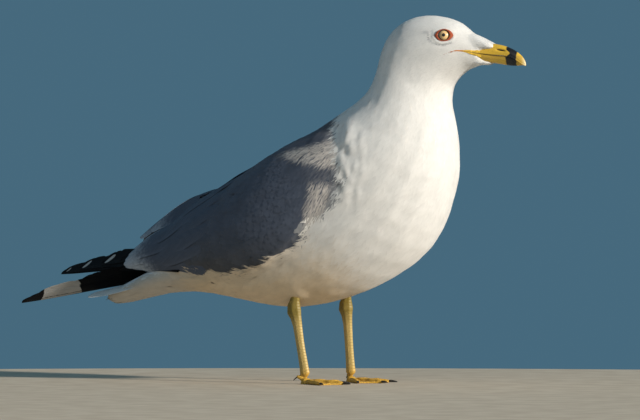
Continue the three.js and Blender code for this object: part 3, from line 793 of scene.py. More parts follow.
@dataclass
class Skin:
    """One closed skin over all the flesh, inside the solids by the feathers' depth."""

    plan: BodyPlan
    voxel: float = 1.7
    swell: float = 0.8  # the solids are swollen this much before they are joined
    turns: int = 12  # of smoothing over the body
    shoulder_turns: int = 60
    thigh_turns: int = 45
    last_turns: int = 3  # once it is sunk
    levels: int = 20  # of smoothing strength
    crowding: float = 5.0  # places tried for each that is wanted

    def build(self) -> Object:
        """Joins the flesh solids, smooths them, sinks the result and gives it its form and colour.

        Returns:
            The new object.
        """
        eyes = [f"{part}_{s.word}" for part in ("eye", "eye_ring") for s in Side]
        verts, faces = copied(FLESH + eyes)
        for more, sides in (spindle(LORES), spindle(CHIN), self.under_wings()):
            faces += [[i + len(verts) for i in f] for f in sides]
            verts += more.tolist()
        obj = new_object("skin", np.array(verts), faces)
        merge_doubles(obj)
        obj.modifiers.new("swell", "DISPLACE").strength = self.swell * MM
        obj.modifiers["swell"].mid_level = 0
        remesh = obj.modifiers.new("join", "REMESH")
        remesh.mode = "VOXEL"
        remesh.voxel_size = self.voxel * MM
        applied(obj)
        self._keep_outside(obj)
        self._smooth(obj, self.turns, self._body_share)
        self._smooth(obj, self.shoulder_turns, self._shoulder_share)
        self._smooth(obj, self.thigh_turns, self._thigh_share)
        places = vertex_places(obj.data)
        station, _, _ = self.plan.along(places)
        sunk = places - vertex_normals(obj.data) * (self.swell + coat_depth(station))[:, None]
        move_vertices(obj.data, sunk)
        self._smooth(obj, self.last_turns, self._body_share)
        self._shape(obj)
        self._read(obj)
        tint = np.ones((len(self.points), 4))
        tint[:, :3] = self.plan.tint(self.points, self.grey)
        set_floats(obj.data, "tint", tint)
        shade_smooth(obj.data)
        obj.data.materials.append(SkinFinish().make())
        self.obj = obj
        return obj

    @staticmethod
    def under_wings() -> tuple[Array, list]:
        """Fills the body out under the rear of the thin folded wings.

        Returns:
            Points in metres and faces of a closed form.
        """
        cover = WingCover()
        x = np.linspace(-2.0, -112.0, 45)[:, None]
        turn = np.linspace(-30.0, 90.0, 16)[None]
        sink = -0.8 - 8 * ramp(-x, 92, 112) + 0 * turn
        right = cover.at(x + 0 * turn, turn + 0 * x, sink, Side.RIGHT)
        left = cover.at(x + 0 * turn, turn + 0 * x, sink, Side.LEFT)[:, ::-1]
        rings = np.concatenate([right, left], 1)
        return rings.reshape(-1, 3) * MM, tube_faces(rings.shape[0], rings.shape[1])

    @staticmethod
    def _body_share(points: Array) -> Array:
        """Full smoothing on the body and less on the face."""
        return np.interp(points[:, 0], [155, 165, 174], [1.0, 0.4, 0.12])

    @staticmethod
    def _shoulder_share(points: Array) -> Array:
        """Smoothing that melts the front of the wings into the breast."""
        x, y, z = points.T
        near = bell(x, 84, 15) * ramp(z, 118, 145) * ramp(np.abs(y), 14, 30)
        return np.where(near > 0.05, near, 0)

    @staticmethod
    def _thigh_share(points: Array) -> Array:
        """Smoothing that melts the thighs into the belly.

        Args:
            points: Rows in millimetres.

        Returns:
            0 to 0.9 for each point.
        """
        share = np.zeros(len(points))
        for x, y in LEGS.values():
            gap = np.hypot(points[:, 0] - x - 2, points[:, 1] - y)
            share += ramp(34 - gap, 0, 12) * ramp(98 - points[:, 2], 0, 12)
        return np.clip(share, 0, 0.9)

    def _smooth(self, obj: Object, turns: int, share: Callable) -> None:
        """Smooths the mesh more in some places than in others.

        Args:
            obj: The skin.
            turns: How many times.
            share: Gives the strength at points.
        """
        level = np.round(share(vertex_places(obj.data)) * self.levels).astype(int)
        group = obj.vertex_groups.new(name="soft")
        for step in np.unique(level[level > 0]):
            group.add(np.flatnonzero(level == step).tolist(), step / self.levels, "REPLACE")
        smooth = obj.modifiers.new("smooth", "SMOOTH")
        smooth.iterations = turns
        smooth.vertex_group = "soft"
        applied(obj)
        obj.vertex_groups.clear()

    @staticmethod
    def _keep_outside(obj: Object) -> None:
        """Deletes every shell but the largest.

        Args:
            obj: The skin.
        """
        with opened(obj) as work:
            left = set(work.verts)
            shells = []
            while left:
                stack = [left.pop()]
                shell = list(stack)
                while stack:
                    vertex = stack.pop()
                    fresh = [e.other_vert(vertex) for e in vertex.link_edges]
                    fresh = [v for v in set(fresh) if v in left]
                    left.difference_update(fresh)
                    stack += fresh
                    shell += fresh
                shells.append(shell)
            shells.sort(key=len)
            for shell in shells[:-1]:
                bmesh.ops.delete(work, geom=shell, context="VERTS")

    def _shape(self, obj: Object) -> None:
        """Adds soft clumps in the plumage, the sockets and the lids' folds.

        Args:
            obj: The skin.
        """
        points, normals = vertex_places(obj.data), vertex_normals(obj.data)
        station, angle, _ = self.plan.along(points)
        radius = np.interp(station, [0, 60, 120, 220, 330, 440], [10, 24, 32, 48, 34, 16])
        round_body = [radius * np.cos(angle) / 8, radius * np.sin(angle) / 8]
        unrolled = np.stack([station / 15, *round_body], 1)
        fine = [noise.noise(Vector(p)) + 0.4 * noise.noise(Vector(p * 2.1)) for p in unrolled]
        size = np.interp(station, [0, 30, 70, 110, 150, 200], [0.0, 0.05, 0.2, 0.42, 0.42, 0.3])
        x, z = points[:, 0], points[:, 2]
        shoulder = bell(x, 88, 14) * ramp(z, 138, 160) * ramp(215 - z, 0, 25)
        folds = np.array([noise.noise(Vector(p)) for p in points / (5.0, 7.0, 8.5)])
        rise = np.array(fine) * size * (1 - 0.65 * self.plan.greyness(points))
        rise = rise + shoulder * (1.3 * folds + 0.8)
        rise += 2.2 * bell(x, 84.5, 7) * ramp(z, 150, 170) * ramp(222 - z, 0, 25)
        for side in Side:
            ahead, up, out = EyeFrame(side).local(points).T
            ring = np.hypot(ahead / 6.9, up / 4.9)
            near = np.abs(out) < 7
            socket = -2.4 * ramp(-ring, -1.08, -0.84)
            wide = np.hypot(ahead / 10.6, up / 8.2)
            low = ramp(-up - 0.5 * ahead, -1.0, 4.0)
            lid = 0.55 * bell(ring, 1.28, 0.16) * (0.35 + 0.65 * low)
            groove = -0.5 * bell(wide, 1.0, 0.1) * low
            rise += np.where(near, socket + lid + groove, 0)
        move_vertices(obj.data, points + normals * rise[:, None])

    def _read(self, obj: Object) -> None:
        """Keeps the skin's points, faces and all that feathers ask of it.

        Args:
            obj: The skin.
        """
        mesh = obj.data
        self.points = vertex_places(mesh)
        self.normals = vertex_normals(mesh)
        self.station, self.angle, self.lie = self.plan.along(self.points)
        self.grey = self.plan.greyness(self.points)
        self.depth = coat_depth(self.station)
        mesh.calc_loop_triangles()
        tris = np.zeros(len(mesh.loop_triangles) * 3, np.int32)
        mesh.loop_triangles.foreach_get("vertices", tris)
        self.tris = tris.reshape(-1, 3)
        self.tree = BVHTree.FromPolygons([Vector(p) for p in self.points], self.tris.tolist())

    def spots(self, tri: Array, share: Array) -> Spots:
        """Reads the skin inside triangles.

        Args:
            tri: Triangle numbers.
            share: Each corner's share.

        Returns:
            The places.
        """
        corners, weight = self.tris[tri], share[:, :, None]

        def mixed(values: Array) -> Array:
            """A value of the corners mixed by their shares."""
            rows = values[corners]
            return (rows * (weight if rows.ndim == 3 else share)).sum(1)

        angle = np.arctan2(mixed(np.sin(self.angle)), mixed(np.cos(self.angle)))
        normals, lie = unit(mixed(self.normals)), unit(mixed(self.lie))
        grey, depth = mixed(self.grey), mixed(self.depth)
        return Spots(mixed(self.points), normals, mixed(self.station), angle, lie, grey, depth)

    def scatter(self, spacing: Callable, wanted: Callable, seed: int) -> Spots:
        """Spreads points over the skin, none nearer to another than the spacing there.

        Args:
            spacing: Gives the spacing in millimetres at places.
            wanted: Gives a chance from 0 to 1 that a place is kept.
            seed: Makes the spread the same each time.

        Returns:
            The places.
        """
        rng = np.random.default_rng(seed)
        corners = self.points[self.tris]
        middle = self.spots(np.arange(len(self.tris)), np.full((len(self.tris), 3), 1 / 3))
        sides = np.cross(corners[:, 1] - corners[:, 0], corners[:, 2] - corners[:, 0])
        area = np.linalg.norm(sides, axis=1) / 2
        weight = area * (wanted(middle) > 0) / spacing(middle) ** 2
        count = int(weight.sum() * self.crowding)
        picked = rng.choice(len(weight), count, p=weight / weight.sum())
        spots = self.spots(picked, rng.dirichlet((1, 1, 1), count))
        spots = spots.only(rng.random(count) < wanted(spots))
        reach = spacing(spots)
        tree = KDTree(len(spots.points))
        for i, p in enumerate(spots.points):
            tree.insert(p, i)
        tree.balance()
        free = np.ones(len(spots.points), bool)
        chosen = []
        for i, p in enumerate(spots.points):
            if free[i]:
                chosen.append(i)
                for _, j, _ in tree.find_range(p, reach[i]):
                    free[j] = False
        return spots.only(np.array(chosen))

    def surface(self, x: float, z: float, side: Side) -> tuple[Array, Array]:
        """The skin's point and normal on one side of the bird at x and z."""
        start = Vector((x, side.value * 90.0, z))
        hit, normal, _, _ = self.tree.ray_cast(start, Vector((0, -side.value, 0)))
        return np.array(hit), np.array(normal)


# ---- small feathers ----
@dataclass(frozen=True)
class Vane:
    """The outline of a small feather: X from root to tip, Y across, half width one."""

    name: str
    stations: int
    columns: int
    root_width: float
    widest: float
    ragged: float
    crown: float

    def build(self) -> Object:
        """Makes the closed mesh, with a crowned top and a flat underside.

        Returns:
            The new object.
        """
        u = np.linspace(0, 1, self.stations)
        v = np.linspace(-1, 1, self.columns)
        rise = ramp(u, 0, self.widest)
        past = np.clip(u - self.widest, 0, 1) / (1.02 - self.widest)
        fall = np.sqrt(np.clip(1 - past**2, 0.1, 1))
        width = (self.root_width + (1 - self.root_width) * rise) * fall
        teeth = self.ragged * np.where(np.arange(self.columns) % 2, 1.0, -0.6)
        top = []
        for i, along in enumerate(u):
            for j, across in enumerate(v):
                tip = ramp(np.array(along), 0.55, 1.0)
                reach = along + tip * teeth[j] + -0.1 * across**2 * tip
                top.append((reach, across * width[i], self.crown * (1 - across**2)))
        n, m = self.stations, self.columns
        number = np.arange(n * m).reshape(n, m)
        below = number.copy()
        inner = number[1:-1, 1:-1]
        below[1:-1, 1:-1] = n * m + np.arange(inner.size).reshape(inner.shape)
        left = (((0, 0), (1, 0), (0, 1)), ((1, 0), (1, 1), (0, 1)))
        right = (((0, 0), (1, 0), (1, 1)), ((0, 0), (1, 1), (0, 1)))
        faces = [
            tuple(layer[i + di, j + dj] for di, dj in corners)[::step]
            for layer, step in ((number, 1), (below, -1))
            for i in range(n - 1)
            for j in range(m - 1)
            for corners in (right if (2 * i + 2 < n) == (2 * j + 2 < m) else left)
        ]
        top = np.array(top)
        under = top[inner.ravel()] * (1, 1, -0.35)
        places = np.concatenate([top, under])
        obj = new_object(self.name, places * (1, 1, 0.02), faces)
        vane = places.copy()
        vane[:, 0] = np.clip(places[:, 0], 0, 1.1)
        vane[:, 1] = np.concatenate([np.tile(v, n), np.tile(v[1:-1], n - 2)])
        set_floats(obj.data, "vane", vane)
        return obj


PLUME = Vane("plume", 4, 3, 0.4, 0.5, 0.06, 0.5)
TUFT = Vane("tuft", 5, 4, 0.45, 0.5, 0.045, 0.6)
COVERT = Vane("covert", 7, 5, 0.5, 0.62, 0.015, 0.7)


class LayFeathers:
    """The node tree that lays small feathers on the skin and bends them to it."""

    def __init__(self) -> None:
        """Builds the tree."""
        self.tree = bpy.data.node_groups.new("lay_feathers", "GeometryNodeTree")
        face = self.tree.interface
        kinds = {"Roots": "Geometry", "Feather": "Object", "Skin": "Object", "Finish": "Material"}
        for name, kind in kinds.items():
            face.new_socket(name, in_out="INPUT", socket_type="NodeSocket" + kind)
        face.new_socket("Feathers", in_out="OUTPUT", socket_type="NodeSocketGeometry")
        start = self.tree.nodes.new("NodeGroupInput")
        end = self.tree.nodes.new("NodeGroupOutput")
        feather, skin = (
            self._add("GeometryNodeObjectInfo", {"Object": start.outputs[name]}, "Geometry")
            for name in ("Feather", "Skin")
        )
        turn = self._add(
            "FunctionNodeAxesToRotation",
            {"Primary Axis": self._read("lie"), "Secondary Axis": self._read("out")},
            "Rotation",
            primary_axis="X",
            secondary_axis="Z",
        )
        roots = {"Points": start.outputs["Roots"], "Instance": feather, "Rotation": turn}
        roots["Scale"] = self._read("size")
        laid = self._add("GeometryNodeInstanceOnPoints", roots, "Instances")
        real = self._add("GeometryNodeRealizeInstances", {"Geometry": laid}, "Geometry")
        here = self._add("GeometryNodeInputPosition", {}, "Position")
        beside = {0: skin, "Sample Position": here}
        nearest = self._add("GeometryNodeProximity", beside, "Position", target_element="FACES")
        skin_normal = self._add("GeometryNodeInputNormal", {}, "Normal")
        normal = self._add(
            "GeometryNodeSampleNearestSurface",
            {"Mesh": skin, "Value": skin_normal, "Sample Position": here},
            "Value",
            data_type="FLOAT_VECTOR",
        )
        out = self._vector("NORMALIZE", normal)
        vane = self._add("ShaderNodeSeparateXYZ", {0: self._read("vane")}, None)
        lay = self._add("ShaderNodeSeparateXYZ", {0: self._read("lay")}, None)
        size = self._add("ShaderNodeSeparateXYZ", {0: self._read("size")}, None)
        curve = self._math("POWER", vane.outputs[0], 1.3)
        climb = self._math("SUBTRACT", lay.outputs[1], lay.outputs[0])
        slope = self._math("MULTIPLY_ADD", climb, curve, lay.outputs[0])
        height = self._math("MULTIPLY_ADD", vane.outputs[2], size.outputs[2], slope)
        bent = self._vector("ADD", nearest, self._vector("SCALE", out, scale=height))
        free = self._vector("ADD", here, self._vector("SCALE", self._read("out"), scale=height))
        ways = {"Factor": lay.outputs[2], 4: bent, 5: free}
        place = self._add("ShaderNodeMix", ways, 1, data_type="VECTOR")
        move = {"Geometry": real, "Position": place}
        moved = self._add("GeometryNodeSetPosition", move, "Geometry")
        stored = self._add(
            "GeometryNodeStoreNamedAttribute",
            {"Geometry": moved, "Name": "skin_out", "Value": out},
            "Geometry",
            data_type="FLOAT_VECTOR",
            domain="POINT",
        )
        dress = {"Geometry": stored, "Material": start.outputs["Finish"]}
        dressed = self._add("GeometryNodeSetMaterial", dress, "Geometry")
        self.tree.links.new(dressed, end.inputs[0])

    def _add(
        self, kind: str, inputs: dict, out: str | int | None, **settings: object
    ) -> NodeSocket | bpy.types.Node:
        """Adds a node.

        Args:
            kind: The node's type.
            inputs: Values or sockets by input.
            out: The output to return, or None for the node.
            **settings: The node's own properties.

        Returns:
            The output or the node.
        """
        node = self.tree.nodes.new(kind)
        for key, value in settings.items():
            setattr(node, key, value)
        for key, value in inputs.items():
            if isinstance(value, NodeSocket):
                self.tree.links.new(value, node.inputs[key])
            else:
                node.inputs[key].default_value = value
        return node if out is None else node.outputs[out]

    def _read(self, name: str) -> NodeSocket:
        """A vector attribute of the feathers' roots."""
        kind = "GeometryNodeInputNamedAttribute"
        return self._add(kind, {"Name": name}, "Attribute", data_type="FLOAT_VECTOR")

    def _math(self, operation: str, a: object, b: object, c: object = 0.0) -> NodeSocket:
        """A number worked out from others."""
        return self._add("ShaderNodeMath", {0: a, 1: b, 2: c}, 0, operation=operation)

    def _vector(
        self, operation: str, a: object, b: object = None, scale: object = None
    ) -> NodeSocket:
        """A vector worked out from others.

        Args:
            operation: What to do.
            a: The first vector.
            b: The second, if it needs one.
            scale: A number, if it needs one.

        Returns:
            The result.
        """
        inputs = {0: a}
        if b is not None:
            inputs[1] = b
        if scale is not None:
            inputs["Scale"] = scale
        return self._add("ShaderNodeVectorMath", inputs, 0, operation=operation)

    def lay(self, name: str, roots: "Roots", vane: Vane, skin: Skin, finish: Material) -> Object:
        """Lays feathers at their roots and returns them as one plain mesh.

        Args:
            name: The piece's name.
            roots: Where the feathers grow, and how.
            vane: The feather's outline.
            skin: The skin they lie on.
            finish: Their material.

        Returns:
            The finished object.
        """
        obj = roots.points_object(name)
        template = vane.build()
        modifier = obj.modifiers.new("lay", "NODES")
        modifier.node_group = self.tree
        values = {"Feather": template, "Skin": skin.obj, "Finish": finish}
        for item in self.tree.interface.items_tree:
            if item.name in values:
                modifier[item.identifier] = values[item.name]
        applied(obj)
        mesh = obj.data
        self._bake_map(mesh)
        self._soften(mesh, roots.softness)
        for spare in ("lie", "out", "size", "lay", "root", "skin_out"):
            if spare in mesh.attributes:
                mesh.attributes.remove(mesh.attributes[spare])
        bpy.data.objects.remove(template)
        return obj

    @staticmethod
    def _bake_map(mesh: Mesh) -> None:
        """Gives each feather a small patch at its root's place on the skin's unwrap.

        Args:
            mesh: The laid feathers.
        """
        root, vane = get_floats(mesh, "root"), get_floats(mesh, "vane")
        local = np.stack([vane[:, 0] - 0.5, vane[:, 1] * 0.5], 1) * BAKE_PATCH
        uv = np.clip(root[:, :2] * 0.98 + 0.01 + local, 0.0, 1.0)
        corner = np.zeros(len(mesh.loops), np.int32)
        mesh.loops.foreach_get("vertex_index", corner)
        for layer in list(mesh.uv_layers):
            mesh.uv_layers.remove(layer)
        layer = mesh.uv_layers.new(name=BAKE_MAP)
        layer.uv.foreach_set("vector", uv[corner].astype(np.float32).ravel())

    @staticmethod
    def _soften(mesh: Mesh, softness: float) -> None:
        """Leans the shading normals towards the skin's, so that the coat looks like one surface."""
        own, skin_out = vertex_normals(mesh), get_floats(mesh, "skin_out")
        own = np.where((own * skin_out).sum(1, keepdims=True) < 0, -own, own)
        normals = unit(own * (1 - softness) + skin_out * softness)
        mesh.normals_split_custom_set_from_vertices(normals.tolist())


@dataclass
class Roots:
    """Where a piece's feathers grow on the skin, with each one's size, lay and colour."""

    spots: Spots
    lie: Array
    length: Array
    width: Array
    low: Array
    high: Array
    stiff: Array  # 0 bends to the skin, 1 stays straight
    tint: Array
    thick: float
    softness: float

    def points_object(self, name: str) -> Object:
        """A mesh of bare points that carries the roots' numbers.

        Args:
            name: The object's name.

        Returns:
            The new object.
        """
        mesh = bpy.data.meshes.new(name)
        mesh.from_pydata((self.spots.points * MM).tolist(), [], [])
        normals = self.spots.normals
        flat = self.lie - normals * (self.lie * normals).sum(1, keepdims=True)
        count = len(normals)
        set_floats(mesh, "lie", unit(flat))
        set_floats(mesh, "out", normals)
        size = np.stack([self.length, self.width / 2, np.full(count, self.thick)], 1)
        set_floats(mesh, "size", size * MM)
        set_floats(mesh, "lay", np.stack([self.low * MM, self.high * MM, self.stiff], 1))
        place = np.stack([self.spots.station, self.spots.angle], 1)
        spread = (place - place.min(0)) / np.ptp(place, axis=0)
        set_floats(mesh, "root", np.column_stack([spread, np.zeros(count)]))
        set_floats(mesh, "tint", np.column_stack([np.clip(self.tint, 0, 1), np.ones(count)]))
        return linked(name, mesh)


class Plumage(Enum):
    """The kinds of small plumage."""

    WHITE = "white_plumage"
    GREY = "grey_plumage"
    WISPS = "hair-like pale ends over the grey at the front of the wing"

    @property
    def slot(self) -> str:
        """The record's material slot."""
        return (Plumage.WHITE if self is Plumage.WHITE else Plumage.GREY).value


@dataclass(frozen=True)
class CoatPatch:
    """One stretch of small feathers: the part of the body it covers and its feathers' sizes."""

    name: str
    kind: Plumage
    start: float  # distance from the bill's root along the middle line
    end: float
    length: tuple[float, float]
    width: tuple[float, float]
    vane: Vane = TUFT
    crowd: float = 0.36  # spacing as a share of the geometric mean of length and width
    lift: float = 1.0
    sway: float = 0.12
    low: float = 0.85  # height of the roots over the skin, as a share of the coat's depth
    thick: float = 0.1
    softness: float = 0.96
    seed: int = 1
    fringe: bool = False  # grows only along the wing's lower edge, where other white feathers don't


PALE, SLATE = Plumage.WHITE, Plumage.GREY
PATCHES = [
    CoatPatch("face_feathers", PALE, -30, 34, (1.8, 3), (0.9, 1.2), PLUME, 0.44, seed=11),
    CoatPatch("crown_feathers", PALE, 34, 78, (3.2, 6), (1.3, 1.9), PLUME, 0.4, seed=12),
    CoatPatch("neck_feathers", PALE, 78, 122, (6, 9), (2, 2.5), PLUME, 0.36, seed=13),
    CoatPatch(
        "breast_feathers", PALE, 122, 165, (9, 12), (2.6, 3.2), PLUME, 0.34, seed=14, sway=0.16,
    ),
    CoatPatch(
        "flank_feathers", PALE, 165, 215, (12, 13), (3.4, 4.4), PLUME, 0.3, seed=17, sway=0.16,
    ),
    CoatPatch(
        "belly_feathers", PALE, 215, 280, (13, 14), (4.6, 5.2), TUFT, 0.28, seed=15, sway=0.16,
    ),
    CoatPatch("tail_coverts", PALE, 280, 460, (14, 18), (5.2, 7), TUFT, 0.32, seed=16, sway=0.13),
    CoatPatch(
        "edge_fringe", PALE, 160, 460, (8, 11), (0.9, 1.3), PLUME, 0.3,
        seed=18, sway=0.2, lift=1.2, fringe=True,
    ),
    CoatPatch(
        "lesser_coverts", SLATE, 100, 192, (9, 12), (3.2, 5), TUFT, 0.38,
        seed=21, softness=0.85, low=0.68,
    ),
    CoatPatch(
        "median_coverts", SLATE, 192, 240, (12, 15), (6.5, 9), COVERT, 0.36,
        seed=22, sway=0.07, softness=0.82, low=0.68,
    ),
    CoatPatch(
        "greater_coverts", SLATE, 240, 460, (16, 22), (9, 12), COVERT, 0.36,
        seed=23, sway=0.05, softness=0.8, low=0.68,
    ),
    CoatPatch(
        "shoulder_wisps", Plumage.WISPS, 90, 260, (7, 9), (0.8, 1.1), PLUME, 0.4,
        seed=24, sway=0.3, lift=1.35,
    ),
]  # fmt: skip


@dataclass
class Coat:
    """The small feathers of the head, body and wings."""

    plan: BodyPlan
    skin: Skin

    def build(self) -> None:
        """Lays every patch."""
        layer = LayFeathers()
        soft = PlumageFinish("soft_plumage").make()
        slate = PlumageFinish("slate_plumage", 0.75, sheen=0.1, root_shade=0.84, mottle=0.12).make()
        for patch in PATCHES:
            finish = soft if patch.kind is PALE else slate
            roots = self.roots(patch)
            obj = layer.lay(patch.name, roots, patch.vane, self.skin, finish)
            obj.visible_shadow = False  # loose feathers let light through, the skin does not
            deliver(obj)

    def roots(self, patch: CoatPatch) -> Roots:
        """Chooses where one patch's feathers grow and how they lie.

        Args:
            patch: The patch.

        Returns:
            The roots.
        """
        rng = np.random.default_rng(patch.seed)

        def size(spots: Spots) -> tuple[Array, Array]:
            """Length and width there."""
            share = np.clip((spots.station - patch.start) / (patch.end - patch.start), 0, 1)
            return np.interp(share, [0, 1], patch.length), np.interp(share, [0, 1], patch.width)

        def spacing(spots: Spots) -> Array:
            """Distance between roots there."""
            length, width = size(spots)
            return patch.crowd * np.sqrt(length * width)

        def wanted(spots: Spots) -> Array:
            """Where the patch's feathers grow.

            Args:
                spots: Places on the skin.

            Returns:
                0 to 1 for each place.
            """
            inside = (spots.station >= patch.start) & (spots.station < patch.end)
            inside &= (spots.grey < 0.55) if patch.kind is PALE else (spots.grey >= 0.5)
            inside &= ((spots.normals * spots.lie).sum(1) < 0.45) | (spots.station < 385)
            inside &= ~self.on_gape(spots.points)
            if patch.kind is PALE:
                near = (self.near_grey(spots.points) > 0.25) & (spots.points[:, 0] > -60)
                inside &= near == patch.fringe
            share = (inside & (spots.points[:, 0] < 194)).astype(float)
            return share * self.wispy(spots.points) if patch.kind is Plumage.WISPS else share

        spots = self.skin.scatter(spacing, wanted, patch.seed)
        lie = self.lie(spots, patch, rng)
        length, width = size(spots)
        length = length * rng.uniform(0.82, 1.12, len(length)) * self.short_by_legs(spots.points)
        clear = self.clear_of_eyes(spots, lie, length)
        spots, lie, length, width = spots.only(clear), lie[clear], length[clear], width[clear]
        count = len(length)
        high = spots.depth * (0.96 + 0.07 * rng.random(count)) * patch.lift
        tint = self.tint(spots, patch, rng)
        if patch.kind is PALE:
            ahead = self.plan.greyness(spots.points - (7.0, 0.0, 0.0))
            high = high * (1 + 0.25 * ramp(ahead, 0.1, 0.5))
        elif patch.kind is SLATE:
            high = high * (0.8 + 0.2 * self.plan.greyness(spots.points + (8.0, 0.0, -6.0)))
        stiff = 0.3 * ramp(spots.station, 395, 425) if patch.kind is PALE else np.zeros(count)
        low = patch.low * spots.depth
        return Roots(
            spots, lie, length, width, low, high, stiff, tint, patch.thick, patch.softness
        )

    @staticmethod
    def wispy(points: Array) -> Array:
        """Where the pale hair-like ends lie: over the shoulder and in clumps down the wing's front.

        Args:
            points: Rows in millimetres.

        Returns:
            0 to 1 for each point.
        """
        x, _, z = points.T
        band = ramp(z + 0.15 * (x - 15), 182, 187) * ramp(184 + 0.2 * (x - 20) - z, -3, 2)
        band *= ramp(x, 10, 40)
        clump = 0.5 + 0.5 * np.sin(x * 0.23 + 1.4 * np.sin(z * 0.11))
        front = ramp(x, 50, 60) * ramp(166 - z, 0, 6) * ramp(clump, 0.1, 0.5)
        return np.clip(band + 0.7 * front + 0.12 * ramp(x, 45, 70), 0, 1)

    def lie(self, spots: Spots, patch: CoatPatch, rng: np.random.Generator) -> Array:
        """The way each feather points: the skin's lie, swayed, and swept over the wing's edge.

        Args:
            spots: Places on the skin.
            patch: The patch.
            rng: Its random numbers.

        Returns:
            A direction for each place.
        """
        x, y, z = spots.points.T
        wave = np.sin(x * 0.31 + 1.7 * np.sin(z * 0.13)) * np.sin(y * 0.27 + z * 0.11)
        swing = rng.normal(0, patch.sway, len(x)) + 0.8 * patch.sway * wave
        side = np.cross(spots.normals, spots.lie)
        lie = unit(spots.lie + side * swing[:, None])
        if patch.kind is Plumage.WISPS:
            droop = ramp(185 - z, 0, 25) * ramp(80 - x, 0, 12)
            lie = unit(lie + np.array([0.0, 0.0, -0.7]) * droop[:, None])
        if patch.kind is PALE:
            below = ramp(np.degrees(np.abs(spots.angle)), 70, 88) * ramp(-x, -88, -66)
            near = ramp(self.near_grey(spots.points), 0.02, 0.3) * ramp(x, -95, -60)
            lie = unit(lie + np.array([-0.1, 0, 0.5]) * (below * near)[:, None])
        return lie

    def near_grey(self, points: Array) -> Array:
        """How much grey lies just above each place, along the wing's lower edge."""
        above = self.plan.greyness(points + np.array([-3.0, 0.0, 6.0]))
        return above * ramp(126 - points[:, 2], 0, 6)

    @staticmethod
    def short_by_legs(points: Array) -> Array:
        """Shortens the feathers round the tops of the legs.

        Args:
            points: Rows in millimetres.

        Returns:
            The share of their length they keep.
        """
        share = np.ones(len(points))
        for x, y in LEGS.values():
            gap = np.hypot(points[:, 0] - x, points[:, 1] - y)
            share -= 0.35 * ramp(15 - gap, 0, 8) * ramp(85 - points[:, 2], 0, 10)
        return share

    @staticmethod
    def on_gape(points: Array) -> Array:
        """True on the bare wedge at the corner of the mouth."""
        x, _, z = points.T
        table = np.array(GAPE, float)
        middle, half = (np.interp(x, table[:, 0], table[:, k]) for k in (1, 2))
        return (x > table[0, 0]) & (np.abs(z - middle) < half + 0.1)

    @staticmethod
    def clear_of_eyes(spots: Spots, lie: Array, length: Array) -> Array:
        """Tells which feathers keep off the eyes' bare rings.

        Args:
            spots: The feathers' roots.
            lie: Their directions.
            length: Their lengths.

        Returns:
            True or false for each feather.
        """
        clear = np.ones(len(length), bool)
        for side in Side:
            eye = EyeFrame(side)
            for share in (0.0, 0.35, 0.7, 1.0):
                ahead, up, out = eye.local(spots.points + lie * (length * share)[:, None]).T
                clear &= ~((np.hypot(ahead / 7.0, up / 5.0) < 1) & (np.abs(out) < 8))
        return clear

    def tint(self, spots: Spots, patch: CoatPatch, rng: np.random.Generator) -> Array:
        """Each feather's colour.

        Args:
            spots: The feathers' roots.
            patch: The patch.
            rng: Its random numbers.

        Returns:
            A row for each feather.
        """
        count = len(spots.points)
        if patch.kind is PALE:
            tint = self.plan.tint(spots.points, np.where(spots.grey > 0.3, spots.grey, 0) * 0.6)
            return tint * (1 + rng.normal(0, 0.015, (count, 1)))
        behind = self.plan.greyness(spots.points + (6.0, 0.0, -3.0))
        edge = np.maximum(behind, ramp(126 - spots.points[:, 2], 0, 6))
        tint = self.plan.tint(spots.points, 0.55 + 0.4 * edge)
        if patch.kind is Plumage.WISPS:
            # painted sunlight: the loose pale ends take a warm pale tint
            painted_sun = rng.uniform(0.5, 1.0, count) * self.wispy(spots.points)
            tint = tint + (PAINTED_SUN_ON_WISPS - tint) * painted_sun[:, None]
        return tint * (1 + rng.normal(0, 0.03, (count, 1)))


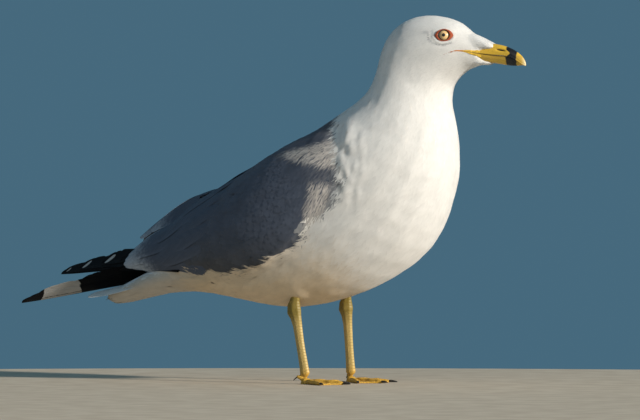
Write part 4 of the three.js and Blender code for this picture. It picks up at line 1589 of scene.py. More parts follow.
# ---- long feathers ----
@dataclass
class BladeSet:
    """Long feathers gathered into one piece: closed thin blades with their own markings."""

    name: str
    verts: list = field(default_factory=list)
    faces: list = field(default_factory=list)
    marks: list = field(default_factory=list)
    shades: list = field(default_factory=list)
    vanes: list = field(default_factory=list)
    kinds: list = field(default_factory=list)

    def add(
        self,
        grid: Array,
        outward: Sequence[float],
        thick: float,
        mark: Array,
        across: Array,
        shade: Array | None = None,
    ) -> None:
        """Adds one blade.

        Args:
            grid: Points of its upper face in millimetres, root to tip by edge to edge.
            outward: A direction that the upper face looks to.
            thick: Its thickness at the shaft.
            mark: How far inside the pale marking each point is; negative is outside.
            across: Each column's place, -1 and 1 at the edges and 0 at the shaft.
            shade: How bright each point is; None leaves them all at one.
        """
        n, m = grid.shape[:2]
        normal = unit(np.cross(np.gradient(grid, axis=0), np.gradient(grid, axis=1)))
        normal *= 1.0 if (normal @ np.asarray(outward, float)).mean() > 0 else -1.0
        u = np.linspace(0, 1, n)
        body = thick * (1 - 0.8 * np.abs(across) ** 2)[None] * (1 - 0.6 * u**6)[:, None]
        under = grid - normal * body[..., None]
        first = sum(len(v) for v in self.verts)
        self.verts.append(np.concatenate([grid.reshape(-1, 3), under.reshape(-1, 3)]))
        starts = [i * m + j for i in range(n - 1) for j in range(m - 1)]
        top = [(a, a + m, a + m + 1, a + 1) for a in starts]
        rim = [i * m for i in range(n)] + [(n - 1) * m + j for j in range(1, m)]
        rim += [i * m + m - 1 for i in reversed(range(n - 1))] + list(reversed(range(1, m - 1)))
        low = n * m
        sides = [(a, a + low, b + low, b) for a, b in zip(rim, rim[1:] + rim[:1])]
        faces = top + [tuple(i + low for i in reversed(f)) for f in top] + sides
        self.faces += [tuple(i + first for i in f) for f in faces]
        self.kinds += [0] * len(top) + [1] * len(top) + [2] * len(sides)
        number = np.full(n * m, len(self.verts) - 1.0)
        vane = np.stack([np.repeat(u, m), np.tile(across, n), number], 1)
        self.vanes += [vane, vane]
        self.marks += [mark.ravel(), mark.ravel()]
        shade = np.ones(n * m) if shade is None else shade.ravel()
        self.shades += [shade, shade]

    def build(self, dark: Array, light: Array, finish: Material) -> Object:
        """Joins the blades into one dressed piece.

        Args:
            dark: The ground colour.
            light: The pale marking's colour.
            finish: The material.

        Returns:
            The new object.
        """
        obj = new_object(self.name, np.concatenate(self.verts) * MM, self.faces)
        vane = np.concatenate(self.vanes)
        set_floats(obj.data, "vane", vane)
        set_floats(obj.data, "mark", np.concatenate(self.marks))
        set_floats(obj.data, "shade", np.concatenate(self.shades))
        count = len(vane)
        set_floats(obj.data, "dark", np.tile([*dark, 1.0], (count, 1)))
        set_floats(obj.data, "light", np.tile([*light, 1.0], (count, 1)))
        self._bake_map(obj.data, vane)
        face_outwards(obj)
        obj.data.materials.append(finish)
        return obj

    def _bake_map(self, mesh: Mesh, vane: Array) -> None:
        """Gives each blade its own band of the bake map, its two faces side by side.

        Args:
            mesh: The blades.
            vane: Each point's place along and across, and its blade.
        """
        rows = len(self.verts)
        band = (vane[:, 2] + 0.5 + 0.4 * vane[:, 1]) / rows
        layer = mesh.uv_layers.new(name=BAKE_MAP)
        uv = np.zeros((len(mesh.loops), 2), np.float32)
        under = np.concatenate([np.repeat([0, 1], len(v) // 2) for v in self.verts])
        for face, kind in zip(mesh.polygons, self.kinds):
            for loop in face.loop_indices:
                i = mesh.loops[loop].vertex_index
                u = 0.02 + 0.44 * vane[i, 0] + (0.52 if kind == 1 else 0.0)
                v = band[i]
                if kind == 2 and under[i]:
                    u += 0.004 * (1 if vane[i, 0] > 0.5 else -1)
                    v += 0.05 / rows * (1 if vane[i, 1] > 0 else -1)
                uv[loop] = (min(max(u, 0.001), 0.999), min(max(v, 0.001), 0.999))
        layer.uv.foreach_set("vector", uv.ravel())


def vane_edges(rng: np.random.Generator, u: Array, splits: int) -> Array:
    """How much of its full width a feather keeps.

    Args:
        rng: Random numbers.
        u: Places along the feather, 0 to 1.
        splits: How many parted barbs.

    Returns:
        The share at each place.
    """
    keep = np.ones(len(u))
    for _ in range(splits):
        at, depth = rng.uniform(0.3, 0.93), rng.uniform(0.03, 0.1)
        keep -= depth * bell(u, at, 0.012)
    return keep


@dataclass(frozen=True)
class Tertial:
    """A long feather on the folded wing: where it lies on the cover, and its half width."""

    x: tuple[float, float]
    degrees: tuple[float, float]
    half: float
    lift: float
    pale: float  # length of its pale tip


@dataclass
class LongFeathers:
    """Tertials, primaries and tail."""

    cover: WingCover = field(default_factory=WingCover)
    tertials: tuple = (
        Tertial((-34, -117), (-30, -22), 9.5, 0.1, 14),
        Tertial((-32, -126), (-16, -13), 10, 0.5, 19),
        Tertial((-30, -132), (-1, -2), 10.5, 0.9, 22),
        Tertial((-28, -134), (15, 12), 10.5, 1.3, 19),
        Tertial((-26, -133), (32, 27), 10.5, 1.7, 13),
        Tertial((-22, -131), (49, 44), 10.5, 2.1, 10),
        Tertial((-18, -127), (66, 60), 9.5, 2.5, 8),
        Tertial((-14, -120), (81, 76), 8, 2.8, 7),
    )
    ridge: tuple = (  # over the raised ridge of the left wing
        Tertial((-40, -131), (74, 66), 9.5, 2.9, 7),
        Tertial((-60, -121), (60, 61), 3.8, 3.8, 29),
        Tertial((-26, -78), (62, 62), 3.0, 3.9, 16),
    )
    ovals: tuple = (  # half length, half width, slant, middle; the first and last are off the tip
        (0.1, 0.1, 5, -9),
        (1.5, 0.26, 8, 5),
        (2.8, 0.32, 11, 7.5),
        (3.3, 0.3, 12, 8),
        (0.1, 0.1, 5, -9),
    )
    tips: dict = field(  # how far each wing-tip feather ends before the longest
        default_factory=lambda: {Side.RIGHT: (0, 4, 24, 52, 76), Side.LEFT: (0, 5, 13, 46, 74)}
    )

    def build(self) -> None:
        """Makes every long feather."""
        slate = QuillFinish("slate_quills", roughness=0.66, gloss=0.25, soft=0.32).make()
        black = QuillFinish("black_quills", roughness=0.6, gloss=0.06).make()
        white = QuillFinish("white_quills", roughness=0.7).make()
        for side in Side:
            piece = self.tertial_set(side).build(GREY, TIP_WHITE_IN_SHADE, slate)
            deliver(piece, [f"tertials_{side.word}"])
            # the white marks are darker than the white plumage; the left wing's mirror is darker
            # still, as painted shade under the far wing
            white_spots = WHITE * (0.6 if side is Side.RIGHT else 0.42)
            piece = self.primary_set(side).build(BLACK, white_spots, black)
            deliver(piece, [f"primaries_{side.word}"])
        piece = self.tail_set().build(WHITE * 0.9, WHITE, white)
        deliver(piece, ["tail_feathers"])

    def tertial_set(self, side: Side) -> BladeSet:
        """The tertials and longest scapulars of one wing.

        Args:
            side: Which wing.

        Returns:
            The feathers.
        """
        blades = BladeSet(f"long_tertials_{side.word}")
        rng = np.random.default_rng(31)
        u, v = np.linspace(0, 1, 64), np.sin(np.linspace(-math.pi / 2, math.pi / 2, 17))
        most = 92.0 if side is Side.LEFT else 88.5
        for feather in self.tertials + (self.ridge if side is Side.LEFT else ()):
            tip = np.sqrt(np.clip(1 - (np.clip(u - 0.84, 0, 1) / 0.163) ** 2.4, 0.0, 1))
            half = feather.half * (0.55 + 0.45 * ramp(u, 0, 0.5))
            half = half * (1 - 0.42 * ramp(u, 0.5, 1.0)) * tip
            half = np.maximum(half * vane_edges(rng, u, 5), 0.15)
            x = np.interp(u, [0, 1], feather.x)[:, None]
            x = x - (0.06 * half[:, None]) * (1 - v[None] ** 2)
            centre = np.interp(u, [0, 1], feather.degrees)[:, None]
            girth = np.interp(x, [-136, -92, -45, 10], [15, 27, 45, 60])
            degrees = np.minimum(centre + np.degrees(v[None] * half[:, None] / girth), most)
            ease = -2.2 * (1 - ramp(u, 0.0, 0.2))
            wave = 0.25 * np.sin(u * 9 + feather.lift * 4)
            lift = feather.lift + ease[:, None] - 0.7 * v[None] ** 2 + wave[:, None]
            lift = lift * np.interp(x, [-134, -60], [0.55, 1.0])
            grid = self.cover.at(x, degrees, lift, side)
            pale = feather.pale / (feather.x[0] - feather.x[1])
            mark = (u[:, None] - 1 + pale + 0.05 * v[None] ** 2) * 2.4
            fringe = (np.abs(v)[None] - 0.95) * 3 + (u[:, None] - 0.9) * 4
            # painted shade in a dark line along each blade's lower edge, with a painted highlight
            # just inside it
            painted_crease_shade_and_highlight = 1 - 0.7 * bell(v, -0.97, 0.08) + 0.3 * bell(v, -0.8, 0.1)
            shade = (painted_crease_shade_and_highlight[None] - 1) * ramp(u, 0.1, 0.35)[:, None]
            shade = 1 + shade * ramp(-u, -0.97, -0.8)[:, None]
            # painted highlight: the pale ends of the ridge feathers are brightened as if sunlit
            if feather in self.ridge[1:]:
                shade = shade * (1 + 0.6 * ramp(mark, -0.3, 0.3))
            blades.add(grid, (0, side.value * 0.5, 0.5), 0.7, np.maximum(mark, fringe), v, shade)
        return blades

    def primary_set(self, side: Side) -> BladeSet:
        """The wing tip: black feathers with white spots, and the white mirror under the left one.

        Args:
            side: Which wing.

        Returns:
            The feathers.
        """
        right = side is Side.RIGHT
        root = np.array([-73.4, -34, 88] if right else [-73.4, 33, 89], float)
        bend = np.array([-142.4, -9, 91] if right else [-144.4, 7, 77.5], float)
        end = np.array([-216.4, 25, 82.6] if right else [-221.4, -28, 60.5], float)
        across = unit(np.array([-0.16, 0.66, 0.73] if right else [-0.12, -0.8, 0.56]))
        blades = BladeSet(f"wing_tip_{side.word}")
        rng = np.random.default_rng(41)
        whole = np.linalg.norm(end - root)
        u = 1 - (1 - np.linspace(0, 1, 80)) ** 1.35
        a = np.linspace(0, 1, 17)
        for i, (rise, width) in enumerate(((0, 8.5), (1.2, 9.5), (3, 12), (6.5, 14), (9.5, 13))):
            short = self.tips[side][i]
            w = (u * (1 - short / whole))[:, None]
            line = root * (1 - w) ** 2 + 2 * bend * w * (1 - w) + end * w**2
            heading = unit(np.gradient(line, axis=0))
            over = unit(across - heading * (heading @ across)[:, None])
            normal = unit(np.cross(heading, over))
            fall = np.clip((u - 0.8) / 0.2, 0, 1)
            reach = width * (0.1 + 0.9 * np.sqrt(np.clip(1 - fall**2.1, 0, 1)))
            reach = reach * vane_edges(rng, u, 4)
            start = rise * (1 - 0.5 * fall) + 0.16 * width * fall**2
            spread = start[:, None] + a[None] * reach[:, None]
            grid = line[:, None] + over[:, None] * spread[..., None]
            depth = side.value * (0.5 * i + 0.9 * (a - 0.35) ** 2)
            grid = grid + normal[:, None] * depth[None, :, None]
            along = np.linalg.norm(line[-1] - line, axis=1)[:, None]
            mark = self.spot(i, along, a[None]) if right else self.mirror(i, along + short, a[None])
            shaft = np.where(a < 0.3, (a - 0.3) / 0.3, (a - 0.3) / 0.7)
            blades.add(grid, normal.mean(0) * side.value, 0.6, mark, shaft)
        return blades

    def spot(self, i: int, along: Array, across: Array) -> Array:
        """A slanting white oval near a black feather's tip.

        Args:
            i: The feather's number from the outermost.
            along: Distance from the feather's tip.
            across: 0 at the lower edge and 1 at the upper.

        Returns:
            How far inside the oval each point is; negative is outside.
        """
        half, reach, slope, middle = self.ovals[i]
        gap = along - middle - slope * (across - 0.5)
        return 1 - (gap / half) ** 2 - ((across - 0.5) / reach) ** 2

    @staticmethod
    def mirror(i: int, reach: Array, across: Array) -> Array:
        """The long white patch under the left wing tip, with dark shaft and edge lines.

        Args:
            i: The feather's number from the outermost.
            reach: Distance from the wing's tip.
            across: 0 at the lower edge and 1 at the upper.

        Returns:
            How far inside the patch each point is; negative is outside.
        """
        start, end = 17.5 - 5 * (0.5 - across), 50 - 6 * (across - 0.5) ** 2
        patch = np.minimum((reach - start) / 2.5, (end - reach) / 2.5)
        if i:
            return patch
        edge = (across - 0.12 * ramp(reach, 36, 44)) * 14 + 0.3
        shaft = np.abs(across - 0.34) * 14 - 0.5
        return np.minimum(np.minimum(patch, edge), shaft)

    def tail_set(self) -> BladeSet:
        """Twelve white tail feathers, the middle pair on top and the outer ones hanging lower.

        Returns:
            The feathers.
        """
        blades = BladeSet("tail_fan")
        rng = np.random.default_rng(51)
        u, v = np.linspace(0, 1, 48), np.linspace(-1, 1, 9)
        for swing in sorted(np.linspace(-0.86, 0.86, 12), key=lambda s: -abs(s)):
            tip = np.sqrt(np.clip(1 - (np.clip(u - 0.93, 0, 1) / 0.071) ** 3, 0.02, 1))
            half = (2.6 + 3.6 * u) * tip * vane_edges(rng, u, 4)
            length = 81 * (1 - 0.05 * swing**2)
            x = (-83.4 - length * u)[:, None] + 0.08 * half[:, None] * v[None] ** 2
            y = swing * (14 + 15 * u)[:, None] + v[None] * half[:, None]
            arch = 10 * (1 - 0.7 * u**3)[:, None]
            z = (89.4 - 19.5 * u)[:, None] - arch * (y / 30) ** 2
            z = z + 1.1 * (1 - abs(swing)) - 0.25 * v[None] ** 2
            grid = np.stack([x, y, z], -1)
            blades.add(grid, (0, swing, 1), 0.6, np.full(grid.shape[:2], -1.0), v)
        return blades


# ---- bill ----
@dataclass(frozen=True)
class BillFinish:
    """Yellow horn with a black ring, a nostril slit darkened with painted shade, and a pale tip."""

    name: str = "bill_horn"
    yellow: tuple = (0.82, 0.51, 0.045, 1)
    dull: tuple = (0.5, 0.31, 0.06, 1)
    ring: tuple = (0.012, 0.011, 0.012, 1)
    tip: tuple = (0.86, 0.72, 0.42, 1)
    flange: tuple = (0.62, 0.13, 0.03, 1)

    def make(self) -> Material:
        """Builds the material.

        Returns:
            The material.
        """
        g = Graph(self.name)
        x, y, z = (g.times(part, 1000.0) for part in g.parts(g.place()))
        wander = g.math("MULTIPLY_ADD", g.noise(500.0, 3.0), 1.6, -0.8)
        streak = g.noise(1.0, 4.0, self._drawn_out(g, x, y, z))
        low = g.between(g.minus(z, g.times(x, -0.06)), 273.4, 275.0, 1.0, 0.0)
        stain = g.times(g.between(streak, 0.42, 0.72), g.between(x, 186, 204, 1.0, 0.25))
        dulling = g.math("MULTIPLY_ADD", low, 0.45, g.times(stain, 0.45))
        base = g.mix(dulling, self.yellow, self.dull)
        base = g.mix(g.between(x, 181, 171), base, self.flange)
        bulge = g.times(g.between(g.math("ABSOLUTE", g.minus(z, 263.2)), 0.0, 3.4, 1.0, 0.0), 3.6)
        front = g.plus(g.minus(x, bulge), wander)
        behind = g.between(g.plus(x, wander), 213.6, 214.6, 1.0, 0.0)
        band = g.times(g.between(front, 204.6, 205.8), behind)
        base = g.mix(g.between(x, 217.5, 221.5, 0.0, 0.75), base, self.tip)
        base = g.mix(band, base, self.ring)
        # painted shade inside the nostril's slit
        slot = self._slot(g, x, z)
        base = g.mix(slot, base, (0.03, 0.02, 0.01, 1))
        g.bump(streak, 0.00025, 0.5)
        rough = g.between(streak, 0.3, 0.7, 0.3, 0.5)
        return g.finish(base, rough, Specular_IOR_Level=0.5, Coat_Weight=0.15, Coat_Roughness=0.2)

    @staticmethod
    def _drawn_out(g: Graph, x: object, y: object, z: object) -> NodeSocket:
        """Coordinates that draw noise out along the bill."""
        return g.node("CombineXYZ", {0: g.times(x, 0.08), 1: g.times(y, 0.5), 2: z})

    @staticmethod
    def _slot(g: Graph, x: object, z: object) -> NodeSocket:
        """Marks the nostril's slit, which is painted dark as shade.

        Args:
            g: The material's nodes.
            x: Place along the bill in millimetres.
            z: Height in millimetres.

        Returns:
            1 inside the slit and 0 outside.
        """
        dx = g.minus(x, Bill.nostril[0])
        dz = g.math("MULTIPLY_ADD", dx, 0.17, g.minus(z, Bill.nostril[1]))
        long = g.math("POWER", g.math("DIVIDE", dx, 3.7), 2.0)
        high = g.math("POWER", g.math("DIVIDE", dz, 0.6), 2.0)
        far = g.plus(long, high)
        return g.between(far, 0.55, 1.1, 1.0, 0.0)


@dataclass(frozen=True)
class GapeFinish:
    """Bare skin at a corner of the mouth: yellow, then orange-red, with a dark line of painted
    shade along it.
    """

    name: str
    yellow: tuple = (0.82, 0.51, 0.045, 1)
    orange: tuple = (0.75, 0.26, 0.04, 1)
    red: tuple = (0.36, 0.06, 0.02, 1)
    gap: tuple = (0.09, 0.045, 0.01, 1)

    def make(self) -> Material:
        """Builds the material.

        Returns:
            The material.
        """
        g = Graph(self.name)
        shade = g.between(g.noise(900.0, 3.0), 0.3, 0.7, 0.7, 1.1)
        x = g.parts(g.place())[0]
        base = g.mix(g.between(x, 0.161, 0.169), self.red, self.orange)
        base = g.mix(g.between(x, 0.168, 0.176), base, self.yellow)
        # painted shade along the middle line where the lips meet
        line = g.between(g.math("ABSOLUTE", g.attribute("across")), 0.05, 0.3, 0.75, 0.0)
        base = g.mix(g.times(line, g.between(x, 0.167, 0.172)), base, self.gap)
        g.bump(g.noise(900.0, 2.0), 0.0001)
        return g.finish(g.mix(1.0, base, shade, way="MULTIPLY"), 0.45)


@dataclass
class Bill:
    """The two halves of the bill, with the fleshy corners of the mouth."""

    skin: Skin
    nostril = (200.9, 265.6)  # middle of the slit, x and z
    upper: tuple = (  # x, ridge, cutting edge, half width
        (166, 268.0, 264.4, 8.4), (174, 269.0, 265.0, 8.2), (181, 270.2, 263.5, 7.3),
        (189.4, 271.0, 262.4, 5.9), (196.7, 270.3, 261.8, 4.9), (204.2, 268.6, 261.2, 4.1),
        (209.9, 266.4, 260.0, 3.5), (214.6, 263.6, 257.2, 2.8), (218.4, 260.4, 254.6, 2.0),
        (220.6, 257.2, 253.5, 1.2), (221.5, 254.8, 253.3, 0.5),
    )  # fmt: skip
    lower: tuple = (  # x, upper edge, keel, half width
        (166, 264.0, 257.5, 8.2), (176, 263.8, 256.4, 7.7), (184, 262.6, 256.0, 6.5),
        (191, 261.9, 255.6, 5.2), (196.2, 261.5, 255.1, 4.3), (202.4, 261.0, 254.2, 3.7),
        (207.7, 260.3, 253.5, 3.2), (212, 258.8, 253.3, 2.6), (216, 256.2, 253.5, 1.8),
        (219.4, 254.5, 253.7, 0.6),
    )  # fmt: skip

    def build(self) -> None:
        """Makes the bill and the corners of the mouth."""
        horn = BillFinish().make()
        for name, make in (("bill_upper", self.upper_half), ("bill_lower", self.lower_half)):
            obj = make(f"horn_{name}")
            obj.data.materials.append(horn)
            deliver(obj, [name])
        for side in Side:
            deliver(self.corner(side))

    def upper_half(self, name: str) -> Object:
        """The upper half: a roof over the cutting edges, hooked over the tip, with nostril slits.

        Args:
            name: The object's name.

        Returns:
            The new object.
        """
        rows = smooth_line(self.upper, 150)
        arc = np.linspace(0, math.pi, 37)
        rings = []
        for x, ridge, edge, half in rows:
            square = np.interp(x, [184, 195], [1.5, 0.78])
            y = half * np.sign(np.cos(arc)) * np.abs(np.cos(arc)) ** square
            z = edge + (ridge - edge) * np.sin(arc) ** 1.05
            dx = x - self.nostril[0]
            dz = z - self.nostril[1] + 0.17 * dx
            slit = np.exp(-((dx / 3.6) ** 4)) * bell(dz, 0, 0.62)
            rim = np.exp(-((dx / 4.6) ** 4)) * bell(dz, 1.3, 0.7)
            flute = bell(z - edge, 1.2, 0.6) * 0.16 * ramp(np.array(x), 186, 196)
            y = y - np.sign(y) * (1.3 * slit - 0.2 * rim + flute)
            under = np.stack([np.linspace(-half, half, 9)[1:-1] * 0.96, np.full(7, edge + 0.25)], 1)
            ring = np.concatenate([np.stack([y, z], 1), under])
            rings.append(np.column_stack([np.full(len(ring), x), ring]))
        return self.lofted(name, rings)

    @staticmethod
    def lofted(name: str, rings: list) -> Object:
        """A closed tube through rings of points."""
        obj = new_object(name, np.concatenate(rings) * MM, tube_faces(len(rings), len(rings[0])))
        face_outwards(obj)
        return obj

    def lower_half(self, name: str) -> Object:
        """The lower half: a trough that closes inside the upper one's edges.

        Args:
            name: The object's name.

        Returns:
            The new object.
        """
        rows = smooth_line(self.lower, 120)
        arc = np.linspace(0, math.pi, 33)
        rings = []
        for x, edge, keel, half in rows:
            y = half * np.sign(np.cos(arc)) * np.abs(np.cos(arc)) ** 0.6
            z = edge - (edge - keel) * np.sin(arc) ** 1.25
            flute = bell(z - keel, 2.6, 0.8) * 0.14
            y = y - np.sign(y) * flute
            top = np.stack([np.linspace(-half, half, 9)[1:-1] * 0.95, np.full(7, edge - 0.2)], 1)
            ring = np.concatenate([np.stack([y, z], 1), top])
            rings.append(np.column_stack([np.full(len(ring), x), ring]))
        return self.lofted(name, rings)

    def corner(self, side: Side) -> Object:
        """Bare skin at a corner of the mouth: a yellow wedge and a red line behind it.

        Args:
            side: Which corner.

        Returns:
            The new object.
        """
        x, z, half = smooth_line(GAPE, 60).T
        turn = circle(14)
        rings = []
        for here, level, size in zip(x, z, half):
            middle, normal = self.skin.surface(min(here, 179.0), level, side)
            bill = side.value * np.interp(here, [176, 181, 188], [8.0, 7.3, 5.9])
            middle[:2] = here, middle[1] + (bill - middle[1]) * ramp(np.array(here), 176, 182)
            lift = 0.35 * ramp(np.array(here), 157, 164) - 1.6 * ramp(np.array(here), 180, 188)
            groove = 1 - 0.45 * bell(np.sin(turn), 0, 0.2) * (here > 165)
            swell = 0.55 * np.cos(turn) * groove * min(1.0, size * 1.6) + lift
            out = middle + normal * swell[:, None]
            rings.append(out + np.array([0.0, 0.0, 1.0]) * (size * np.sin(turn))[:, None])
        ring = np.array(rings)
        faces = tube_faces(len(x), len(turn))
        obj = new_object(f"mouth_corner_{side.word}", ring.reshape(-1, 3) * MM, faces)
        set_floats(obj.data, "across", np.tile(np.sin(turn), len(x)))
        face_outwards(obj)
        obj.data.materials.append(GapeFinish(f"mouth_corner_skin_{side.word}").make())
        return obj


# ---- eyes ----
@dataclass(frozen=True)
class IrisFinish:
    """A pale straw-yellow eye under a clear wet coat."""

    name: str = "eye_glass"
    pupil: float = 1.3  # radius, mm
    iris: float = 4.0

    def make(self) -> Material:
        """Builds the material.

        Returns:
            The material.
        """
        g = Graph(self.name)
        radius = g.attribute("radius")
        u, v, _ = g.parts(g.attribute("disc", out="Vector"))
        turn = g.times(g.math("ARCTAN2", v, u), 6.0)
        spoke = g.node("CombineXYZ", {0: turn, 1: g.times(radius, 0.5)})
        fibre = g.noise(2.0, 4.0, spoke)
        fleck = g.noise(1500.0, 3.0)
        straw = g.mix(g.between(fibre, 0.3, 0.7), (0.86, 0.52, 0.2, 1), (0.96, 0.7, 0.36, 1))
        straw = g.mix(g.between(fleck, 0.56, 0.72, 0.0, 0.55), straw, (0.42, 0.24, 0.09, 1))
        ring = g.math("MULTIPLY_ADD", fleck, 0.5, radius)
        ring = g.between(ring, self.iris - 0.35, self.iris + 0.25)
        base = g.mix(ring, straw, (0.03, 0.018, 0.012, 1))
        hole = g.math("MULTIPLY_ADD", fleck, 0.12, radius)
        base = g.mix(g.between(hole, self.pupil, self.pupil + 0.28), (0.004, 0.004, 0.004, 1), base)
        return g.finish(base, 0.25, Coat_Weight=1.0, Coat_Roughness=0.02, Coat_IOR=1.4)


@dataclass(frozen=True)
class LidFinish:
    """Bare beaded orange-red skin with a thin dark inner rim."""

    name: str = "orbit_skin"

    def make(self) -> Material:
        """Builds the material.

        Returns:
            The material.
        """
        g = Graph(self.name)
        edge = g.attribute("edge")
        bead = g.cells(2300.0, "F1")
        red = g.mix(g.between(bead, 0.1, 0.8), (0.66, 0.14, 0.035, 1), (0.36, 0.05, 0.015, 1))
        red = g.mix(g.between(edge, 0.12, 0.3, 1.0, 0.0), red, (0.03, 0.014, 0.01, 1))
        red = g.mix(g.between(edge, 0.86, 1.0, 0.0, 0.5), red, (0.2, 0.06, 0.03, 1))
        g.bump(bead, 0.00035, 0.8)
        return g.finish(red, 0.5, Specular_IOR_Level=0.5)


@dataclass
class Eye:
    """One eyeball and the bare lids round it."""

    side: Side
    ball: float = 5.7
    sunk: float = 4.2
    opening: float = 4.15
    length: float = 7.0
    height: float = 4.95

    def build(self, iris: Material, lid: Material) -> None:
        """Makes both pieces.

        Args:
            iris: The eye's material.
            lid: The lids' material.
        """
        eye = self.eyeball()
        eye.data.materials.append(iris)
        deliver(eye, [f"eye_{self.side.word}"])
        ring = self.lids()
        ring.data.materials.append(lid)
        deliver(ring, [f"eye_ring_{self.side.word}"])

    def eyeball(self) -> Object:
        """The ball with the cornea's bulge.

        Returns:
            The new object.
        """
        eye = EyeFrame(self.side)
        rings, around = 40, 56
        tilt = np.linspace(0.004, math.pi - 0.02, rings)
        turn = circle(around)
        radius = self.ball * np.sin(tilt)
        height = self.ball * np.cos(tilt) - self.sunk + 0.45 * bell(radius, 0, 3.0) * (tilt < 1.6)
        local = np.stack(
            [
                radius[:, None] * np.cos(turn)[None],
                radius[:, None] * np.sin(turn)[None],
                np.repeat(height[:, None], around, 1),
            ],
            -1,
        ).reshape(-1, 3)
        places, faces = eye.world(local) * MM, tube_faces(rings, around)
        obj = new_object(f"eyeball_{self.side.word}", places, faces)
        spread = np.hypot(local[:, 0], local[:, 1])
        set_floats(obj.data, "radius", np.where(np.repeat(tilt, around) > 1.5, 9.0, spread))
        set_floats(obj.data, "disc", local)
        face_outwards(obj)
        return obj

    def lids(self) -> Object:
        """The bare ring, drawn out to a corner before and behind.

        Returns:
            The new object.
        """
        eye = EyeFrame(self.side)
        around, profile = 96, 16
        turn = circle(around)
        outer = 1 / np.hypot(np.cos(turn) / self.length, np.sin(turn) / self.height)
        corner = bell(turn, math.pi, 0.2) + bell(np.minimum(turn, 2 * math.pi - turn), 0, 0.2)
        outer = outer + 0.55 * corner
        swing = circle(profile)
        middle, half = (outer + self.opening) / 2, (outer - self.opening) / 2
        reach = middle[:, None] + half[:, None] * np.cos(swing)[None]
        beads = 0.07 * np.sin(turn * 23)[:, None] * (np.sin(swing) > 0.2)[None]
        fall = -0.13 * np.maximum(reach - self.opening - 0.4, 0) ** 1.3
        rise = 0.55 + 0.75 * np.sin(swing)[None] + beads + fall
        local = np.stack([reach * np.cos(turn)[:, None], reach * np.sin(turn)[:, None], rise], -1)
        number = np.arange(around * profile).reshape(around, profile)
        ahead, inner = np.roll(number, -1, 0), np.roll(number, -1, 1)
        beyond = np.roll(ahead, -1, 1)
        faces = np.stack([number, ahead, beyond, inner], -1).reshape(-1, 4).tolist()
        obj = new_object(f"lids_{self.side.word}", eye.world(local.reshape(-1, 3)) * MM, faces)
        set_floats(obj.data, "edge", ((np.cos(swing) + 1) / 2)[None].repeat(around, 0).ravel())
        face_outwards(obj)
        return obj


# ---- legs ----
@dataclass(frozen=True)
class LegFinish:
    """Scaled yellow leg skin: plates down the front and along the toes, small scales elsewhere."""

    name: str = "leg_skin"
    shank: tuple = (0.55, 0.4, 0.135, 1)
    joint: tuple = (0.23, 0.17, 0.025, 1)
    web: tuple = (0.66, 0.38, 0.05, 1)
    groove: tuple = (0.2, 0.13, 0.03, 1)

    def make(self) -> Material:
        """Builds the material.

        Returns:
            The material.
        """
        g = Graph(self.name)
        along, plated, joint = g.parts(g.attribute("scale", out="Vector"))
        foot = g.attribute("foot")
        blotch = g.noise(160.0, 4.0)
        base = g.mix(g.math("MULTIPLY_ADD", blotch, 0.4, g.minus(foot, 0.2)), self.shank, self.web)
        base = g.mix(g.times(joint, g.between(blotch, 0.2, 0.6, 0.6, 1.0)), base, self.joint)
        step = g.math("FRACT", g.plus(g.math("DIVIDE", along, 2.3), g.times(blotch, 0.3)))
        line = g.between(g.math("ABSOLUTE", g.minus(step, 0.5)), 0.38, 0.5)
        cells = g.between(g.cells(780.0), 0.0, 0.1, 1.0, 0.0)
        mesh_lines = g.times(cells, g.minus(1.0, plated))
        lines = g.math("MULTIPLY_ADD", line, plated, mesh_lines)
        base = g.mix(g.times(lines, 0.5), base, self.groove)
        g.bump(g.minus(1.0, lines), 0.00022, 0.8)
        g.bump(g.noise(700.0, 3.0), 0.0004, 0.25)
        return g.finish(base, g.between(blotch, 0.3, 0.7, 0.42, 0.6), Specular_IOR_Level=0.45)


@dataclass(frozen=True)
class ClawFinish:
    """Black horn with a fine, slightly paler grain."""

    name: str = "claw_horn"

    def make(self) -> Material:
        """Builds the material.

        Returns:
            The material.
        """
        g = Graph(self.name)
        grain = g.noise(900.0, 4.0)
        base = g.mix(g.between(grain, 0.35, 0.7), (0.01, 0.009, 0.008, 1), (0.045, 0.036, 0.028, 1))
        g.bump(grain, 0.0002, 0.5)
        return g.finish(base, g.between(grain, 0.3, 0.7, 0.25, 0.45))


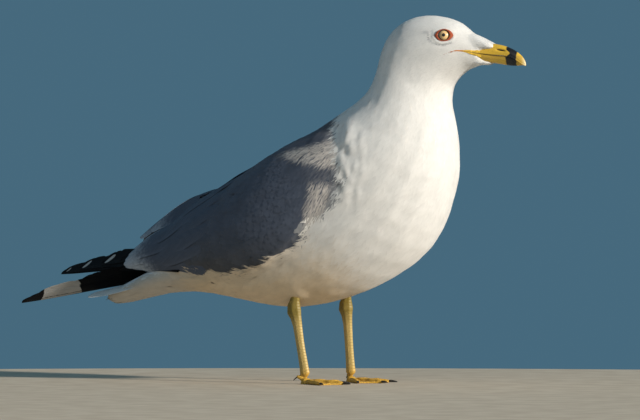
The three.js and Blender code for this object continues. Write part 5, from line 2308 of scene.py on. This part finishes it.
@dataclass
class Leg:
    """One bare leg and webbed foot in a single skin, with its claws."""

    side: Side
    voxel: float = 0.62
    smoothing: int = 3
    foot_height: float = 16.0

    @property
    def sole(self) -> Array:
        """Where the toes meet, x and y."""
        return np.array([38.6, -26.0] if self.side is Side.RIGHT else [52.1, 26.0])

    @property
    def headings(self) -> Array:
        """The toes' directions in radians."""
        return np.radians([28, -7, -42] if self.side is Side.RIGHT else [-52, -20, 4])

    def build(self, skin: Material, horn: Material) -> None:
        """Makes the leg and its claws.

        Args:
            skin: The leg's material.
            horn: The claws' material.
        """
        word = self.side.word
        obj = self.bare_leg(f"leg_{word}")
        obj.data.materials.append(skin)
        toes = vertex_places(obj.data)
        toes = toes[toes[:, 2] < self.foot_height]
        deliver(obj, [f"shank_{word}", f"foot_{word}"])
        for toe in ("inner", "middle", "outer", "hind"):
            node = f"claw_{toe}_{word}"
            verts, faces = copied([node])
            claw = new_object(f"nail_{toe}_{word}", np.array(verts), faces)
            merge_doubles(claw)
            rounder = claw.modifiers.new("round", "SUBSURF")
            rounder.levels = rounder.render_levels = 2
            applied(claw)
            self.seat(claw, toes)
            shade_smooth(claw.data)
            claw.data.materials.append(horn)
            deliver(claw, [node])

    @staticmethod
    def seat(claw: Object, toes: Array) -> None:
        """Stretches a claw's root into the toe nearest to it and leaves its tip in place.

        Args:
            claw: The claw.
            toes: Points of the foot in millimetres.
        """
        points = vertex_places(claw.data)
        near = np.linalg.norm(points[:, None] - toes[None], axis=2).min(1)
        root, tip = points[near.argmin()], points[near.argmax()]
        reach = np.linalg.norm(tip - root)
        share = np.clip(1 - (points - root) @ (tip - root) / reach**2, 0, 1)
        butt = points[share > 0.75].mean(0)
        gaps = np.linalg.norm(toes - butt, axis=1)
        hold = toes[gaps < gaps.min() + 2.2].mean(0)
        moved = points + (hold + 0.4 * unit(hold - butt) - butt) * share[:, None]
        moved[:, 2] = np.maximum(moved[:, 2], 0.0)
        move_vertices(claw.data, moved)

    def bare_leg(self, name: str) -> Object:
        """The shank, toes and web joined in one skin, with its scale coordinates.

        Args:
            name: The object's name.

        Returns:
            The new object.
        """
        verts, faces = copied([f"shank_{self.side.word}", f"foot_{self.side.word}"])
        obj = new_object(name, np.array(verts), faces)
        merge_doubles(obj)
        remesh = obj.modifiers.new("join", "REMESH")
        remesh.mode = "VOXEL"
        remesh.voxel_size = self.voxel * MM
        smooth = obj.modifiers.new("smooth", "SMOOTH")
        smooth.iterations = self.smoothing
        applied(obj)
        shade_smooth(obj.data)
        points, normals = vertex_places(obj.data), vertex_normals(obj.data)
        flat = points[:, :2] - self.sole
        rays = np.stack([np.cos(self.headings), np.sin(self.headings)], 1)
        forward = flat @ rays.T
        aside = np.abs(flat[:, :1] * rays[:, 1] - flat[:, 1:] * rays[:, 0])
        nearest = np.where(forward > 0, aside, 99).argmin(1)
        row = np.arange(len(points))
        toe_gap, toe_along = aside[row, nearest], forward[row, nearest]
        on_toe = ramp(3.0 - toe_gap, 0.2, 1.2) * (toe_along > 2)
        low = ramp(9.0 - points[:, 2], 0, 4)
        front = ramp(normals[:, 0], 0.1, 0.5)
        plated = low * on_toe + (1 - low) * front
        along = np.where(low > 0.5, toe_along, points[:, 2])
        joint = ramp(points[:, 2], 44, 58)
        set_floats(obj.data, "scale", np.stack([along, plated, joint], 1))
        set_floats(obj.data, "foot", ramp(self.foot_height - points[:, 2], 0, 12))
        fan = np.arctan2(flat[:, 1], flat[:, 0])
        out = np.hypot(*flat.T)
        web = low * (1 - on_toe) * (points[:, 2] < 2.6) * (out > 6) * (normals[:, 2] > 0.2)
        crease = 0.22 * np.sin(fan * 34 + 0.35 * out) + 0.15 * np.sin(out * 1.1)
        knuckle = 0.22 * np.cos(toe_along * 2 * np.pi / 11.5) * on_toe * low * (normals[:, 2] > 0)
        points = points + normals * (crease * web + knuckle)[:, None]
        points[:, 2] = np.maximum(points[:, 2], 0.0)
        move_vertices(obj.data, points)
        return obj


# ---- scene ----
@dataclass
class Studio:
    """Floor, soft lights and the camera."""

    target: tuple[float, float, float] = (37.6, 0.0, 138.4)
    azimuth: float = 28.0  # from the bird's right side towards its front
    elevation: float = 0.8
    distance: float = 6.0
    frame_width: float = 512.0  # what the picture shows across, at the bird
    floor_radius: float = 1.3
    floor_front: float = 0.98  # how far the floor's middle lies in front of the bird

    def build(self) -> None:
        """Makes everything that isn't the bird."""
        a, e = math.radians(self.azimuth), math.radians(self.elevation)
        self.back = Vector((math.sin(a) * math.cos(e), -math.cos(a) * math.cos(e), math.sin(e)))
        self.camera()
        self.floor()
        self.light("key", "SUN", (0.935, -0.14, 0.33), 4.15, (1.0, 0.925, 0.82), math.radians(4))
        self.light("fill", "AREA", (0.9, -2.6, 1.3), 9.8, (1.0, 0.93, 0.84), 2.2)
        world = bpy.data.worlds.new("studio")
        world.use_nodes = True
        background = world.node_tree.nodes["Background"]
        background.inputs[0].default_value = (0.062, 0.142, 0.205, 1)
        background.inputs[1].default_value = 1.0
        bpy.context.scene.world = world
        bpy.context.scene.view_settings.view_transform = "Standard"

    def camera(self) -> None:
        """Places the camera."""
        data = bpy.data.cameras.new("camera")
        data.lens = data.sensor_width * self.distance / (self.frame_width * MM)
        data.clip_end = 100
        camera = linked("camera", data)
        camera.location = Vector(self.target) * MM + self.back * self.distance
        camera.rotation_euler = self.back.to_track_quat("Z", "Y").to_euler()
        bpy.context.scene.camera = camera

    def floor(self) -> None:
        """A plain pale round floor."""
        middle = Vector((self.back.x, self.back.y)) * self.floor_front
        turn = circle(128)
        ring = np.stack([np.cos(turn), np.sin(turn), 0 * turn], 1) * self.floor_radius
        floor = new_object("floor", ring + (*middle, 0.0), [tuple(range(128))])
        g = Graph("pale_floor")
        cloud = g.between(g.noise(40, 5), 0.3, 0.7)
        tone = g.mix(cloud, (0.55, 0.46, 0.35, 1), (0.64, 0.55, 0.43, 1))
        g.bump(g.noise(300, 3), 0.0005, 0.3)
        floor.data.materials.append(g.finish(tone, 0.85))

    def light(
        self, name: str, kind: str, way: tuple, strength: float, colour: tuple, size: float
    ) -> None:
        """Adds one light that shines towards the bird.

        Args:
            name: Its name.
            kind: SUN or AREA.
            way: The direction it stands in.
            strength: Its energy.
            colour: Red, green and blue.
            size: An angle in radians for SUN, metres for AREA.
        """
        data = bpy.data.lights.new(name, kind)
        data.energy = strength
        data.color = colour
        if kind == "SUN":
            data.angle = size
        else:
            data.shape = "DISK"
            data.size = size
        lamp = linked(name, data)
        towards = Vector(way)
        lamp.location = Vector(self.target) * MM + towards
        lamp.rotation_euler = towards.to_track_quat("Z", "Y").to_euler()


def main() -> None:
    """Builds the gull piece by piece."""
    logging.basicConfig(level=logging.INFO, format="%(message)s")
    Studio().build()
    plan = BodyPlan()
    skin = Skin(plan)
    deliver(skin.build(), FLESH)
    Coat(plan, skin).build()
    LongFeathers().build()
    Bill(skin).build()
    iris, lid = IrisFinish().make(), LidFinish().make()
    leg_skin, horn = LegFinish().make(), ClawFinish().make()
    for side in Side:
        Eye(side).build(iris, lid)
        Leg(side).build(leg_skin, horn)


if __name__ == "__main__":
    main()
